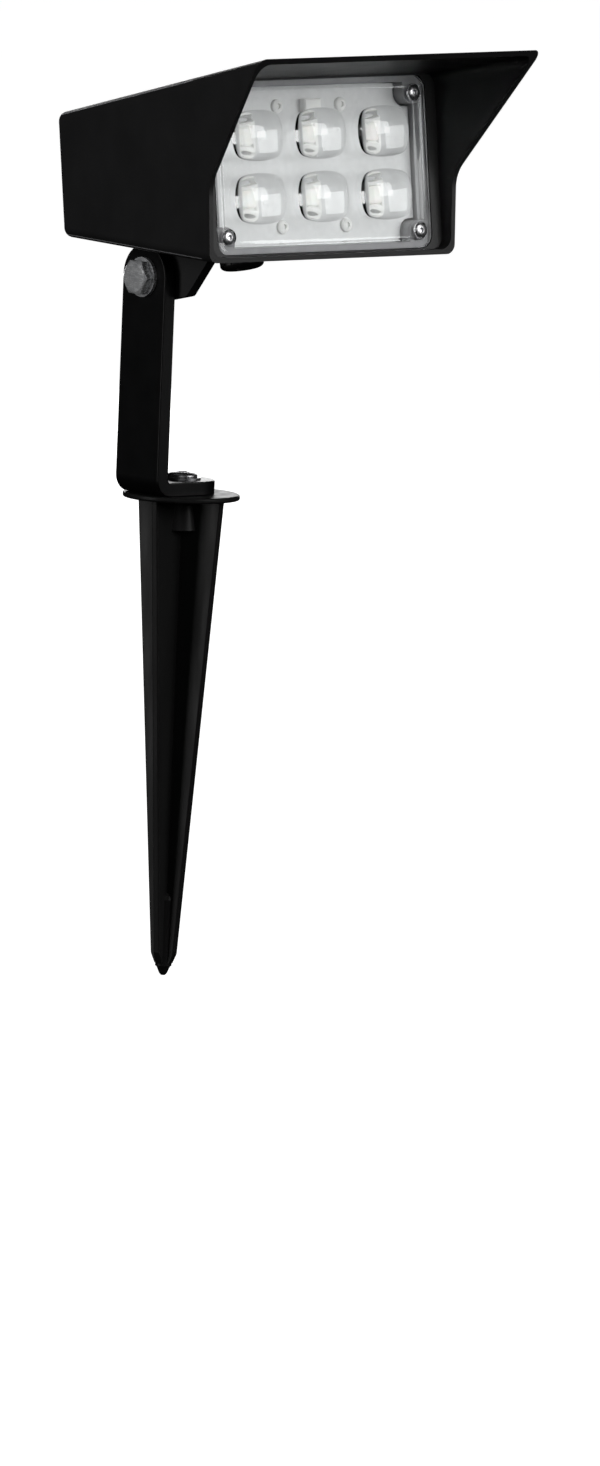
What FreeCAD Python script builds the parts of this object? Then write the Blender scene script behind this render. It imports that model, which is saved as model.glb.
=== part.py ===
"""Garden spike spotlight: a hooded die-cast head on a strap bracket, screwed to a cross-fin ground spike.

Millimetres and degrees. The origin is the centre of the spike flange's underside, which lies at
ground level, on the spike's axis. +Z is up, the lit face looks towards -Y, and the strap bracket
stands on the -X side. The head is drawn unpitched, in its own coordinates: x across, f forward
(towards -Y) and h up, all from the tilt axis, and is then pitched about that axis.
"""
import FreeCAD, Part
import math
import os

from FreeCAD import Vector

# ---- Ground spike ----
FLANGE_RADIUS = 23.5
FLANGE_THICK = 2.2
FLANGE_EDGE_ROUND = 0.8
FIN_THICK = 3.0
FIN_TOP_RADIUS = 19.8
FIN_END_RADIUS = 5.6
FIN_END_DEPTH = 182.7
FIN_TURN = 17.4               # direction of the first fin pair from +X
FIN_EDGE_ROUND = 0.7
HUB_TOP_RADIUS = 6.2
HUB_END_RADIUS = 8.4
HUB_DEPTH = 12.4
POINT_RADIUS = 3.7            # solid core between the fins near the point
POINT_TOP_DEPTH = 158.0
POINT_COLLAR_RADIUS = 3.3
POINT_COLLAR_DEPTH = 187.4
POINT_COLLAR_HEIGHT = 1.0
POINT_COLLAR_STEP = 0.5
POINT_NOSE_RADIUS = 1.6
SPIKE_DEPTH = 192.2

# ---- Foot screw and its insert ----
FOOT_SCREW_RADIUS = 3.0
FOOT_SCREW_LENGTH = 16.0
FOOT_HEAD_RADIUS = 6.2
FOOT_HEAD_HEIGHT = 2.2
FOOT_SOCKET_FLATS = 4.0
FOOT_SOCKET_DEPTH = 1.4
FOOT_WASHER_RADIUS = 7.5
FOOT_WASHER_THICK = 0.8
INSERT_RADIUS = 4.6
INSERT_LENGTH = 14.0
INSERT_GROOVE_WIDTH = 2.4
INSERT_GROOVE_DEPTH = 0.7

# ---- Strap bracket ----
STRAP_WIDTH = 26.4
STRAP_THICK = 5.6
STRAP_OUTER_X = 23.7          # distance of the strap's outer face from the spike axis
STRAP_BEND_RADIUS = 1.6       # inside of the bend
STRAP_EDGE_ROUND = 0.5
PIVOT_RISE = 81.8             # tilt axis above the top face of the bracket's foot
TURNING_GAP = 0.08            # radial running gap of a screw or bolt in the piece that turns on it

# ---- Tilt bolt ----
BOLT_RADIUS = 4.0
BOLT_LENGTH = 22.0
BOLT_HEAD_FLATS = 13.0
BOLT_HEAD_HEIGHT = 4.0
BOLT_WASHER_RADIUS = 8.0
BOLT_WASHER_THICK = 1.5
FRICTION_WASHER_RADIUS = 9.5
FRICTION_WASHER_THICK = 0.8
SPRING_WASHER_RADIUS = 6.8
SPRING_WASHER_THICK = 2.0
SPRING_WASHER_SLIT = 1.2
NUT_FLATS = 13.0
NUT_HEIGHT = 5.0

# ---- Head casting ----
HEAD_PITCH = 8.0              # how far the lit face is tipped up at rest
BACK_F = -31.0                # back face, behind the tilt axis
BACK_HALF_WIDTH = 39.1
BACK_TOP = 67.5
BACK_BOTTOM = 17.65
SIDE_FLARE = 0.203            # growth of the half width per mm forward
ROOF_RISE = 0.082
FLOOR_DROP = 0.125
WALL = 2.0
SKIN_CORNER = 4.0
BACK_EDGE_ROUND = 3.0
LIP_F = 89.1                  # lower front edge
LIP_CORNER_F = 92.0           # where the lip turns into the slanted hood edge
LIP_CORNER_H = 34.5
LIP_TURN_RADIUS = 15.0
HOOD_TIP_F = 137.9
INNER_CORNER = 5.0
SEAT_F = 81.0                 # ledge that carries the gasket
LEDGE = 2.6
LEDGE_CORNER = 4.0
BOSS_RADIUS = 4.2             # corner bosses that take the lens screws
LEDGE_ROOT_F = 43.0           # the ledge thickens out of the wall from here
EAR_THICK = 4.5
EAR_RADIUS = 10.2
EAR_TIP_F = 18.0
EAR_TIP_H = -8.8
EAR_ROOT_F = 38.2
EAR_TIP_ROUND = 2.5
EAR_RIB_THICK = 3.0
EAR_FRONT_RIB_F = 16.0
EAR_RIB_REACH = 9.0
EAR_RIB_DROP = 6.0

# ---- Lens plate, gasket and their screws ----
GASKET_THICK = 1.2
PLATE_THICK = 3.0
PLATE_HALF_WIDTH = 55.4
PLATE_GAP = 0.3               # round the plate, inside the casting
PLATE_CORNER = 5.5
LENS_COLUMNS = 3
LENS_ROWS = 2
LENS_PITCH_X = 32.6
LENS_PITCH_H = 25.1
LENS_HALF_WIDTH = 13.3
LENS_HALF_HEIGHT = 10.2
LENS_RISE = 5.5
LENS_HOLLOW_HALF_WIDTH = 6.6
LENS_HOLLOW_HALF_HEIGHT = 5.6
LENS_HOLLOW_DEPTH = 2.6
LENS_SCREW_EDGE_X = 5.7       # screw centre from the plate's side edge
LENS_SCREW_EDGE_H = 6.9
LENS_SCREW_RADIUS = 1.5
LENS_SCREW_LENGTH = 12.0
LENS_SCREW_HEAD_RADIUS = 3.1
LENS_SCREW_HEAD_HEIGHT = 1.9
LENS_SCREW_SINK_DEPTH = 1.0   # counterbore in the plate
SCREW_HOLE_GAP = 0.25

# ---- Light engine ----
HEAT_PLATE_THICK = 3.0
HEAT_PLATE_GAP = 0.7          # to the casting's walls and bosses
PAD_THICK = 0.5
PAD_HALF_WIDTH = 41.0
PAD_HALF_HEIGHT = 26.2
PAD_CORNER = 2.0
BOARD_THICK = 1.6
BOARD_INSET = 0.3             # board edge inside the heat plate's edge
LED_HALF_WIDTH = 3.9
LED_HALF_HEIGHT = 3.5
LED_THICK = 1.2
LED_DOME_RADIUS = 2.8
LED_DOME_FACE_RADIUS = 1.7
LED_DOME_RISE = 0.5
BOARD_SCREW_X = 16.4
BOARD_SCREW_H = 24.0
BOARD_SCREW_RADIUS = 1.5
BOARD_SCREW_HEAD_RADIUS = 2.8
BOARD_SCREW_HEAD_HEIGHT = 1.7
HEAT_POST_X = 44.9
HEAT_POST_H = 13.0
HEAT_POST_RADIUS = 4.0
HEAT_POST_ROOT_F = 8.0
HEAT_SCREW_RADIUS = 1.5
HEAT_SCREW_LENGTH = 10.0
HEAT_SCREW_HEAD_RADIUS = 2.8
LEAD_HOLE_H = 24.0            # above the plate's centre
LEAD_HOLE_RADIUS = 4.0
GROMMET_RIM = 1.2
GROMMET_RIM_THICK = 0.9
LEAD_RADIUS = 0.75
LEAD_SPACING = 3.2
LEAD_STRAIGHT = 12.0          # straight run out of the header and into the grommet
LEAD_BEND_SHARE = 0.45        # share of a run that its bend takes
CONNECTOR_HALF_WIDTH = 4.2
CONNECTOR_HALF_HEIGHT = 2.6
CONNECTOR_THICK = 3.6
CONNECTOR_CHAMFER = 0.5
CONNECTOR_GAP = 1.6           # from the connector to the lens plate

# ---- Driver ----
DRIVER_BACK_F = -25.0
DRIVER_FRONT_F = 23.0
DRIVER_HALF_WIDTH = 28.0
DRIVER_BOARD_THICK = 1.6
POST_TOP_H = 25.0
POST_RADIUS = 3.4
POST_X = 24.0
POST_EDGE = 5.0               # post centre from the board's front or back edge
DRIVER_SCREW_RADIUS = 1.5
DRIVER_SCREW_LENGTH = 6.0
DRIVER_SCREW_HEAD_RADIUS = 2.8
DRIVER_SCREW_HEAD_HEIGHT = 1.8
TRANSFORMER_X = 4.0
TRANSFORMER_FROM_BACK = 26.0  # its centre, from the board's back edge
CORE_WIDTH = 20.0
CORE_DEPTH = 12.0
CORE_HEIGHT = 17.0
CORE_LIMB = 4.5
WINDING_RADIUS = 6.9
CAPACITORS = ((-17.0, 12.0, 6.3, 20.0), (-18.5, 27.0, 5.0, 16.0))  # x, from the back edge, radius, height
CAPACITOR_GROOVE = 0.5        # depth, and half the height, of the crimped groove
CAPACITOR_FOOT = 1.6          # straight foot below the groove
CAPACITOR_EDGE = 0.6
CHOKE_X = 19.0
CHOKE_FROM_BACK = 13.0
CHOKE_OUTER_RADIUS = 7.0
CHOKE_TUBE_RADIUS = 2.6
TERMINAL_WIDTH = 10.0
TERMINAL_DEPTH = 8.0
TERMINAL_HEIGHT = 10.0
TERMINAL_X = -8.0
TERMINAL_ENTRY = 3.0          # square wire entries, raised half their width above the board
TERMINAL_ENTRY_DEPTH = 5.0
TERMINAL_SCREW_RADIUS = 1.7
TERMINAL_SCREW_DEPTH = 2.5
HEADER_X = 17.0
HEADER_WIDTH = 8.0
HEADER_DEPTH = 7.0
HEADER_HEIGHT = 7.0

# ---- Cable gland ----
GLAND_F = 32.0
GLAND_THREAD_RADIUS = 6.0
GLAND_BORE_RADIUS = 3.6
GLAND_FLATS = 15.6
GLAND_COLLAR = 2.4
GLAND_CAP_RADIUS = 8.8
GLAND_CAP_HEIGHT = 5.6
GLAND_CAP_ROUND = 2.0         # height of the domed shoulder
GLAND_CAP_DOME_REACH = 3.2    # how far the shoulder runs inwards
GLAND_CAP_MOUTH_RADIUS = 3.8
GLAND_CAP_WALL = 1.6
GLAND_SEAL_BORE_RADIUS = 3.2
GLAND_SEAL_LENGTH = 2.0
GLAND_END_LENGTH = 1.0        # thread that shows beyond the locknut
O_RING_THICK = 1.0
O_RING_WIDTH = 2.0
LOCKNUT_HEIGHT = 3.5
LOCKNUT_FLATS = 15.6
HOLE_GAP = 0.15

# ---- Worked out from the sizes above ----
PIVOT_Z = FLANGE_THICK + STRAP_THICK + PIVOT_RISE
EAR_OUTER_X = -STRAP_OUTER_X + STRAP_THICK + FRICTION_WASHER_THICK
BEYOND_TIP_F = HOOD_TIP_F + LIP_TURN_RADIUS
PLATE_BACK_F = SEAT_F + GASKET_THICK
PLATE_FRONT_F = PLATE_BACK_F + PLATE_THICK
BOARD_FRONT_F = PLATE_BACK_F - CONNECTOR_GAP - CONNECTOR_THICK
BOARD_BACK_F = BOARD_FRONT_F - BOARD_THICK
HEAT_PLATE_FRONT_F = BOARD_BACK_F - PAD_THICK
HEAT_PLATE_BACK_F = HEAT_PLATE_FRONT_F - HEAT_PLATE_THICK
DRIVER_TOP_H = POST_TOP_H + DRIVER_BOARD_THICK
UP = Vector(0, 0, 1)
DOWN = Vector(0, 0, -1)
FORWARD = Vector(0, -1, 0)
BACKWARD = Vector(0, 1, 0)
RIGHT = Vector(1, 0, 0)


# ---- Shapes of screw heads and nuts, shared by all of them ----
CHAMFER_ANGLE = 30            # degrees, of the turned-off corners of a hexagon
CHAMFER_FACE_SHARE = 0.97     # flat face left inside the chamfer, as a share of the width across flats
PAN_RIM_SHARE = 0.35          # straight rim of a pan head, as a share of its height
PAN_ARC_STEPS = 4
DRIVE_FLOOR_SHARE = 0.45      # height of the drive recess's floor, as a share of the head's height
SMALL_DRIVE_FLATS = 2.0


# ---- Plain helpers ----
def fused(shapes):
    """One solid from several that share faces or overlap."""
    return shapes[0].multiFuse(shapes[1:]).removeSplitter()


def box(low, high):
    """Box between two corners."""
    return Part.makeBox(high.x - low.x, high.y - low.y, high.z - low.z, low)


def ring(outer_radius, inner_radius, thickness, base, direction):
    """Flat washer."""
    disc = Part.makeCylinder(outer_radius, thickness, base, direction)
    return disc.cut(Part.makeCylinder(inner_radius, thickness, base, direction))


def hexagon(flats, height, base, direction):
    """Hexagonal prism, with one corner turned towards the side."""
    corner = flats / math.sqrt(3.0)
    points = [Vector(corner * math.sin(k * math.pi / 3), corner * math.cos(k * math.pi / 3), 0) for k in range(6)]
    prism = Part.Face(Part.makePolygon(points + points[:1])).extrude(UP * height)
    prism.Placement = FreeCAD.Placement(base, FreeCAD.Rotation(UP, direction))
    return prism


def hexagon_with_chamfer(flats, height, base, direction):
    """Hexagonal prism whose far face has its corners turned off, as on a nut or a bolt head."""
    prism = hexagon(flats, height, base, direction)
    face_radius = flats / 2 * CHAMFER_FACE_SHARE
    rim = face_radius + height / math.tan(math.radians(CHAMFER_ANGLE))
    return prism.common(Part.makeCone(rim, face_radius, height, base, direction))


def revolved(profile, base, direction):
    """Solid of revolution from (radius, height) points, about direction through base."""
    points = [Vector(radius, 0, height) for radius, height in profile]
    face = Part.Face(Part.makePolygon(points + points[:1]))
    solid = face.revolve(Vector(0, 0, 0), UP, 360)
    solid.Placement = FreeCAD.Placement(base, FreeCAD.Rotation(UP, direction))
    return solid


def pan_head(radius, height):
    """Profile of a domed screw head, flat side at height 0, as (radius, height) points."""
    rim = height * PAN_RIM_SHARE
    turns = [k * math.pi / 2 / PAN_ARC_STEPS for k in range(PAN_ARC_STEPS)]
    arc = [(radius * math.cos(turn), rim + (height - rim) * math.sin(turn)) for turn in turns]
    return [(0, 0), (radius, 0)] + arc + [(0, height)]


def pan_screw(radius, length, head_radius, head_height, seat, direction):
    """Small screw whose head stands on seat and points along direction, with a hexagonal drive recess."""
    head = revolved(pan_head(head_radius, head_height), seat, direction)
    shank = Part.makeCylinder(radius, length, seat - direction * length, direction)
    drive = hexagon(SMALL_DRIVE_FLATS, head_height, seat + direction * head_height * DRIVE_FLOOR_SHARE, direction)
    return fused([head, shank]).cut(drive)


# ---- Head coordinates ----
def head_point(x, f, h):
    """Point given in the head's own coordinates, before it is pitched and lifted."""
    return Vector(x, -f, h)


def set_in_place(shape):
    """Pitch a head piece about the tilt axis and lift it to its height."""
    placed = shape.copy()
    placed.rotate(Vector(0, 0, 0), RIGHT, -HEAD_PITCH)
    placed.translate(Vector(0, 0, PIVOT_Z))
    return placed


def half_width(f):
    """Outer half width of the casting at station f."""
    return BACK_HALF_WIDTH + SIDE_FLARE * (f - BACK_F)


def roof_height(f):
    """Outer top of the casting at station f."""
    return BACK_TOP + ROOF_RISE * (f - BACK_F)


def floor_height(f):
    """Outer bottom of the casting at station f."""
    return BACK_BOTTOM - FLOOR_DROP * (f - BACK_F)


def rounded_outline(half, low, high, corner, f):
    """Rounded rectangle in the plane across the head at station f."""
    wire_corners = [(half, low, 1, 1), (half, high, 1, -1), (-half, high, -1, -1), (-half, low, -1, 1)]
    edges = []
    ends = []
    for x, h, sign_x, sign_h in wire_corners:
        centre_x = x - sign_x * corner
        centre_h = h + sign_h * corner
        on_side = head_point(x, f, centre_h)
        on_level = head_point(centre_x, f, h)
        shift = corner * math.sqrt(0.5)
        middle = head_point(centre_x + sign_x * shift, f, centre_h - sign_h * shift)
        start, end = (on_level, on_side) if sign_x * sign_h > 0 else (on_side, on_level)
        ends.append((start, end))
        edges.append(Part.Arc(start, middle, end).toShape())
    for k in range(4):
        edges.append(Part.makeLine(ends[k][1], ends[(k + 1) % 4][0]))
    return Part.Wire(Part.__sortEdges__(edges))


def section(f, inset, corner):
    """Cross-section of the flared casting at station f, inset from its skin."""
    return rounded_outline(half_width(f) - inset, floor_height(f) + inset, roof_height(f) - inset, corner, f)


def plate_block(half, low, high, corner, back_f, front_f):
    """Flat plate across the head, with rounded corners."""
    face = Part.Face(rounded_outline(half, low, high, corner, back_f))
    return face.extrude(FORWARD * (front_f - back_f))


def forward_cylinder(radius, x, h, back_f, front_f):
    """Cylinder along the head's forward direction."""
    return Part.makeCylinder(radius, front_f - back_f, head_point(x, back_f, h), FORWARD)


def side_prism(outline, low_x, high_x):
    """Prism across the head from a closed list of (f, h) corners."""
    points = [head_point(low_x, f, h) for f, h in outline]
    return Part.Face(Part.makePolygon(points + points[:1])).extrude(RIGHT * (high_x - low_x))


def mirrored_pairs(x, h):
    """The four corners of a rectangle centred on the plate, as (x, h) in head coordinates."""
    return [(sx * x, PLATE_CENTRE_H + sh * h) for sx in (-1, 1) for sh in (-1, 1)]


def plate_low():
    """Lower edge of the lens plate."""
    return floor_height(PLATE_BACK_F) + WALL + PLATE_GAP


def plate_high():
    """Upper edge of the lens plate."""
    return roof_height(PLATE_BACK_F) - WALL - PLATE_GAP


PLATE_CENTRE_H = (plate_low() + plate_high()) / 2
LENS_SCREW_X = PLATE_HALF_WIDTH - LENS_SCREW_EDGE_X
LENS_SCREW_H = plate_high() - PLATE_CENTRE_H - LENS_SCREW_EDGE_H


def ledge_opening(inset, corner, f):
    """Opening that the ledge leaves behind the lens plate, inset from its edge, as an outline at station f."""
    margin = LEDGE + inset
    return rounded_outline(PLATE_HALF_WIDTH - margin, plate_low() + margin, plate_high() - margin, corner, f)


def corner_bosses(grow, back_f, front_f):
    """The four bosses that fill the ledge's corners round the lens screws, grown all round, between two stations."""
    radius = BOSS_RADIUS + grow
    edge_x = PLATE_HALF_WIDTH - LEDGE / 2
    bosses = []
    for x, h in mirrored_pairs(LENS_SCREW_X, LENS_SCREW_H):
        wall_x = math.copysign(edge_x, x)
        wall_h = plate_high() - LEDGE / 2 if h > PLATE_CENTRE_H else plate_low() + LEDGE / 2
        inner_x = x - math.copysign(radius, x)
        inner_h = h - math.copysign(radius, h - PLATE_CENTRE_H)
        round_part = forward_cylinder(radius, x, h, back_f, front_f)
        to_side = corner_box(x, wall_x, inner_h, wall_h, back_f, front_f)
        to_level = corner_box(inner_x, wall_x, h, wall_h, back_f, front_f)
        bosses.append(fused([round_part, to_side, to_level]))
    return bosses


def corner_box(x_a, x_b, h_a, h_b, back_f, front_f):
    """Box between two stations, from any two opposite corners in x and h."""
    return box(head_point(min(x_a, x_b), front_f, min(h_a, h_b)), head_point(max(x_a, x_b), back_f, max(h_a, h_b)))


def lens_places():
    """Centres of the lenses and of the emitters behind them, as (x, h)."""
    return [((column - (LENS_COLUMNS - 1) / 2) * LENS_PITCH_X,
             PLATE_CENTRE_H + (row - (LENS_ROWS - 1) / 2) * LENS_PITCH_H)
            for row in range(LENS_ROWS) for column in range(LENS_COLUMNS)]


# ---- Ground spike ----
def fin_pair(turn):
    """Two opposite fins: one tapered plate through the axis, turned about it."""
    half = FIN_THICK / 2
    corners = [(-FIN_TOP_RADIUS, 0), (FIN_TOP_RADIUS, 0), (FIN_END_RADIUS, -FIN_END_DEPTH),
               (POINT_COLLAR_RADIUS, -POINT_COLLAR_DEPTH), (-POINT_COLLAR_RADIUS, -POINT_COLLAR_DEPTH),
               (-FIN_END_RADIUS, -FIN_END_DEPTH)]
    points = [Vector(radius, -half, z) for radius, z in corners]
    plate = Part.Face(Part.makePolygon(points + points[:1])).extrude(Vector(0, FIN_THICK, 0))
    outer_edges = [edge for edge in plate.Edges
                   if abs(edge.Vertexes[0].X) > POINT_COLLAR_RADIUS + 0.1 and edge.Length > FIN_END_DEPTH / 2]
    plate = plate.makeFillet(FIN_EDGE_ROUND, outer_edges)
    plate.rotate(Vector(0, 0, 0), UP, turn)
    return plate


def point_core():
    """Solid point: a cone between the fins with a domed top, a collar and a blunt nose."""
    dome_base = -POINT_TOP_DEPTH - POINT_RADIUS
    dome = [(POINT_RADIUS * math.sin(k * math.pi / 8), dome_base + POINT_RADIUS * math.cos(k * math.pi / 8))
            for k in range(5)]
    collar_end = -POINT_COLLAR_DEPTH - POINT_COLLAR_HEIGHT
    taper = [(POINT_COLLAR_RADIUS, -POINT_COLLAR_DEPTH), (POINT_COLLAR_RADIUS, collar_end),
             (POINT_COLLAR_RADIUS - POINT_COLLAR_STEP, collar_end - POINT_COLLAR_STEP / 2),
             (POINT_NOSE_RADIUS, -SPIKE_DEPTH + POINT_NOSE_RADIUS / 2),
             (POINT_NOSE_RADIUS / 2, -SPIKE_DEPTH), (0, -SPIKE_DEPTH)]
    return revolved(dome + taper, Vector(0, 0, 0), UP)


def insert_envelope():
    """Outside of the moulded-in thread insert: two knurled bands with a groove between them."""
    half_groove = INSERT_GROOVE_WIDTH / 2
    middle = INSERT_LENGTH / 2
    inner = INSERT_RADIUS - INSERT_GROOVE_DEPTH
    profile = [(0, 0), (INSERT_RADIUS, 0), (INSERT_RADIUS, middle - half_groove), (inner, middle - half_groove),
               (inner, middle + half_groove), (INSERT_RADIUS, middle + half_groove),
               (INSERT_RADIUS, INSERT_LENGTH), (0, INSERT_LENGTH)]
    return revolved(profile, Vector(0, 0, FLANGE_THICK - INSERT_LENGTH), UP)


def ground_spike():
    """Moulded spike: flange, flared hub, two crossed fin pairs and a solid point."""
    flange = Part.makeCylinder(FLANGE_RADIUS, FLANGE_THICK)
    flange = flange.makeFillet(FLANGE_EDGE_ROUND, [edge for edge in flange.Edges if len(edge.Vertexes) == 1])
    hub = Part.makeCone(HUB_END_RADIUS, HUB_TOP_RADIUS, HUB_DEPTH, Vector(0, 0, -HUB_DEPTH), UP)
    spike = fused([flange, hub, fin_pair(FIN_TURN), fin_pair(FIN_TURN + 90), point_core()])
    return spike.cut(insert_envelope())


def spike_insert():
    """Threaded insert moulded into the hub, blind at its lower end."""
    depth = FOOT_SCREW_LENGTH - STRAP_THICK - FOOT_WASHER_THICK
    bore = Part.makeCylinder(FOOT_SCREW_RADIUS, depth, Vector(0, 0, FLANGE_THICK), DOWN)
    return insert_envelope().cut(bore)


def foot_washer():
    """Washer between the foot and the foot screw's head."""
    seat = Vector(0, 0, FLANGE_THICK + STRAP_THICK)
    return ring(FOOT_WASHER_RADIUS, FOOT_SCREW_RADIUS, FOOT_WASHER_THICK, seat, UP)


def foot_screw():
    """Pan-head screw on the spike's axis, with a hexagonal socket."""
    seat = Vector(0, 0, FLANGE_THICK + STRAP_THICK + FOOT_WASHER_THICK)
    head = revolved(pan_head(FOOT_HEAD_RADIUS, FOOT_HEAD_HEIGHT), seat, UP)
    shank = Part.makeCylinder(FOOT_SCREW_RADIUS, FOOT_SCREW_LENGTH, seat, DOWN)
    top = seat + UP * (FOOT_HEAD_HEIGHT - FOOT_SOCKET_DEPTH)
    socket = hexagon(FOOT_SOCKET_FLATS, FOOT_SOCKET_DEPTH, top, UP)
    return fused([head, shank]).cut(socket)


# ---- Strap bracket and tilt bolt ----
def arm_bracket():
    """Flat strap bent once: a foot round the spike's axis and a leg up to the tilt bolt."""
    half = STRAP_WIDTH / 2
    inner_x = -STRAP_OUTER_X + STRAP_THICK
    bend_x = inner_x + STRAP_BEND_RADIUS
    bend_z = FLANGE_THICK + STRAP_THICK + STRAP_BEND_RADIUS
    leg = box(Vector(-STRAP_OUTER_X, -half, bend_z), Vector(inner_x, half, PIVOT_Z))
    crown = Part.makeCylinder(half, STRAP_THICK, Vector(-STRAP_OUTER_X, 0, PIVOT_Z), RIGHT)
    bend_face = Part.Face(Part.makePolygon([
        Vector(-STRAP_OUTER_X, -half, bend_z), Vector(inner_x, -half, bend_z),
        Vector(inner_x, half, bend_z), Vector(-STRAP_OUTER_X, half, bend_z), Vector(-STRAP_OUTER_X, -half, bend_z)]))
    bend = bend_face.revolve(Vector(bend_x, 0, bend_z), Vector(0, -1, 0), 90)
    foot = box(Vector(bend_x, -half, FLANGE_THICK), Vector(0, half, FLANGE_THICK + STRAP_THICK))
    toe = Part.makeCylinder(half, STRAP_THICK, Vector(0, 0, FLANGE_THICK), UP)
    strap = fused([leg, crown, bend, foot, toe])
    strap = strap.makeFillet(STRAP_EDGE_ROUND, [edge for edge in strap.Edges if edge_runs_along_outline(edge)])
    bolt_hole = Part.makeCylinder(BOLT_RADIUS, STRAP_THICK, Vector(-STRAP_OUTER_X, 0, PIVOT_Z), RIGHT)
    screw_hole = Part.makeCylinder(FOOT_SCREW_RADIUS + TURNING_GAP, STRAP_THICK, Vector(0, 0, FLANGE_THICK), UP)
    return strap.cut(bolt_hole).cut(screw_hole)


def edge_runs_along_outline(edge):
    """True for the long edges of the strap: those that lie on its sides and ends, not across it."""
    middle = edge.valueAt((edge.FirstParameter + edge.LastParameter) / 2)
    half = STRAP_WIDTH / 2
    on_side = abs(abs(middle.y) - half) < 0.01
    on_crown = abs(math.hypot(middle.y, middle.z - PIVOT_Z) - half) < 0.01 and middle.z > PIVOT_Z
    on_toe = abs(math.hypot(middle.x, middle.y) - half) < 0.01 and middle.x > 0
    across = edge.Length < STRAP_THICK * 1.01
    return (on_side or on_crown or on_toe) and not across


def bolt_seat_x():
    """Where the underside of the tilt bolt's head lies."""
    return -STRAP_OUTER_X - BOLT_WASHER_THICK


def pivot_bolt():
    """Hexagon bolt through the strap and the ear, its head outside."""
    head = hexagon_with_chamfer(BOLT_HEAD_FLATS, BOLT_HEAD_HEIGHT, Vector(bolt_seat_x(), 0, PIVOT_Z), RIGHT * -1)
    shank = Part.makeCylinder(BOLT_RADIUS, BOLT_LENGTH, Vector(bolt_seat_x(), 0, PIVOT_Z), RIGHT)
    return fused([head, shank])


def pivot_washer():
    """Plain washer under the bolt's head."""
    return ring(BOLT_WASHER_RADIUS, BOLT_RADIUS, BOLT_WASHER_THICK, Vector(bolt_seat_x(), 0, PIVOT_Z), RIGHT)


def pivot_friction_washer():
    """Nylon washer that drags between the strap and the ear, so that the head stays where it is put."""
    base = Vector(-STRAP_OUTER_X + STRAP_THICK, 0, PIVOT_Z)
    return ring(FRICTION_WASHER_RADIUS, BOLT_RADIUS, FRICTION_WASHER_THICK, base, RIGHT)


def pivot_spring_washer():
    """Split ring between the ear and the nut."""
    base = Vector(EAR_OUTER_X + EAR_THICK, 0, PIVOT_Z)
    washer = ring(SPRING_WASHER_RADIUS, BOLT_RADIUS, SPRING_WASHER_THICK, base, RIGHT)
    slit_half = SPRING_WASHER_SLIT / 2
    slit = box(base + Vector(0, -slit_half, 0), base + Vector(SPRING_WASHER_THICK, slit_half, SPRING_WASHER_RADIUS))
    return washer.cut(slit)


def pivot_nut():
    """Hexagon nut on the inside of the ear."""
    base = Vector(EAR_OUTER_X + EAR_THICK + SPRING_WASHER_THICK, 0, PIVOT_Z)
    nut = hexagon_with_chamfer(NUT_FLATS, NUT_HEIGHT, base, RIGHT)
    return nut.cut(Part.makeCylinder(BOLT_RADIUS, NUT_HEIGHT, base, RIGHT))


# ---- Head casting ----
def outer_skin():
    """Flared block with the casting's outside, before its mouth is cut."""
    skin = Part.makeLoft([section(BACK_F, 0, SKIN_CORNER), section(BEYOND_TIP_F, 0, SKIN_CORNER)], True, True)
    back_edges = [edge for edge in skin.Edges
                  if all(abs(vertex.Y + BACK_F) < 0.01 for vertex in edge.Vertexes)]
    return skin.makeFillet(BACK_EDGE_ROUND, back_edges)


def mouth_cutter():
    """All that lies in front of the lip and of the slanted hood edges."""
    tip_h = roof_height(HOOD_TIP_F)
    slope = math.atan2(tip_h - LIP_CORNER_H, HOOD_TIP_F - LIP_CORNER_F)
    lean = math.atan2(LIP_CORNER_H - floor_height(LIP_F), LIP_CORNER_F - LIP_F)
    tangent = LIP_TURN_RADIUS * math.tan((lean - slope) / 2)
    reach = HOOD_TIP_F - LIP_F
    width = half_width(BEYOND_TIP_F)
    start = (LIP_CORNER_F - tangent * math.cos(lean), LIP_CORNER_H - tangent * math.sin(lean))
    end = (LIP_CORNER_F + tangent * math.cos(slope), LIP_CORNER_H + tangent * math.sin(slope))
    centre = (start[0] + LIP_TURN_RADIUS * math.sin(lean), start[1] - LIP_TURN_RADIUS * math.cos(lean))
    half_turn = (lean + slope) / 2
    middle = (centre[0] - LIP_TURN_RADIUS * math.sin(half_turn), centre[1] + LIP_TURN_RADIUS * math.cos(half_turn))
    foot = (start[0] - reach * math.cos(lean), start[1] - reach * math.sin(lean))
    top = (end[0] + 2 * reach * math.cos(slope), end[1] + 2 * reach * math.sin(slope))
    far = HOOD_TIP_F + reach * 2
    above = tip_h + reach
    here = [head_point(-width, f, h) for f, h in (foot, start, middle, end, top, (far, top[1]), (far, foot[1]))]
    edges = [Part.makeLine(here[0], here[1]), Part.Arc(here[1], here[2], here[3]).toShape(),
             Part.makeLine(here[3], here[4]), Part.makeLine(here[4], here[5]),
             Part.makeLine(here[5], here[6]), Part.makeLine(here[6], here[0])]
    slanted = Part.Face(Part.Wire(edges)).extrude(RIGHT * 2 * width)
    beyond_tip = side_prism([(HOOD_TIP_F, foot[1]), (far, foot[1]), (far, above), (HOOD_TIP_F, above)], -width, width)
    return slanted.fuse(beyond_tip)


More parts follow.
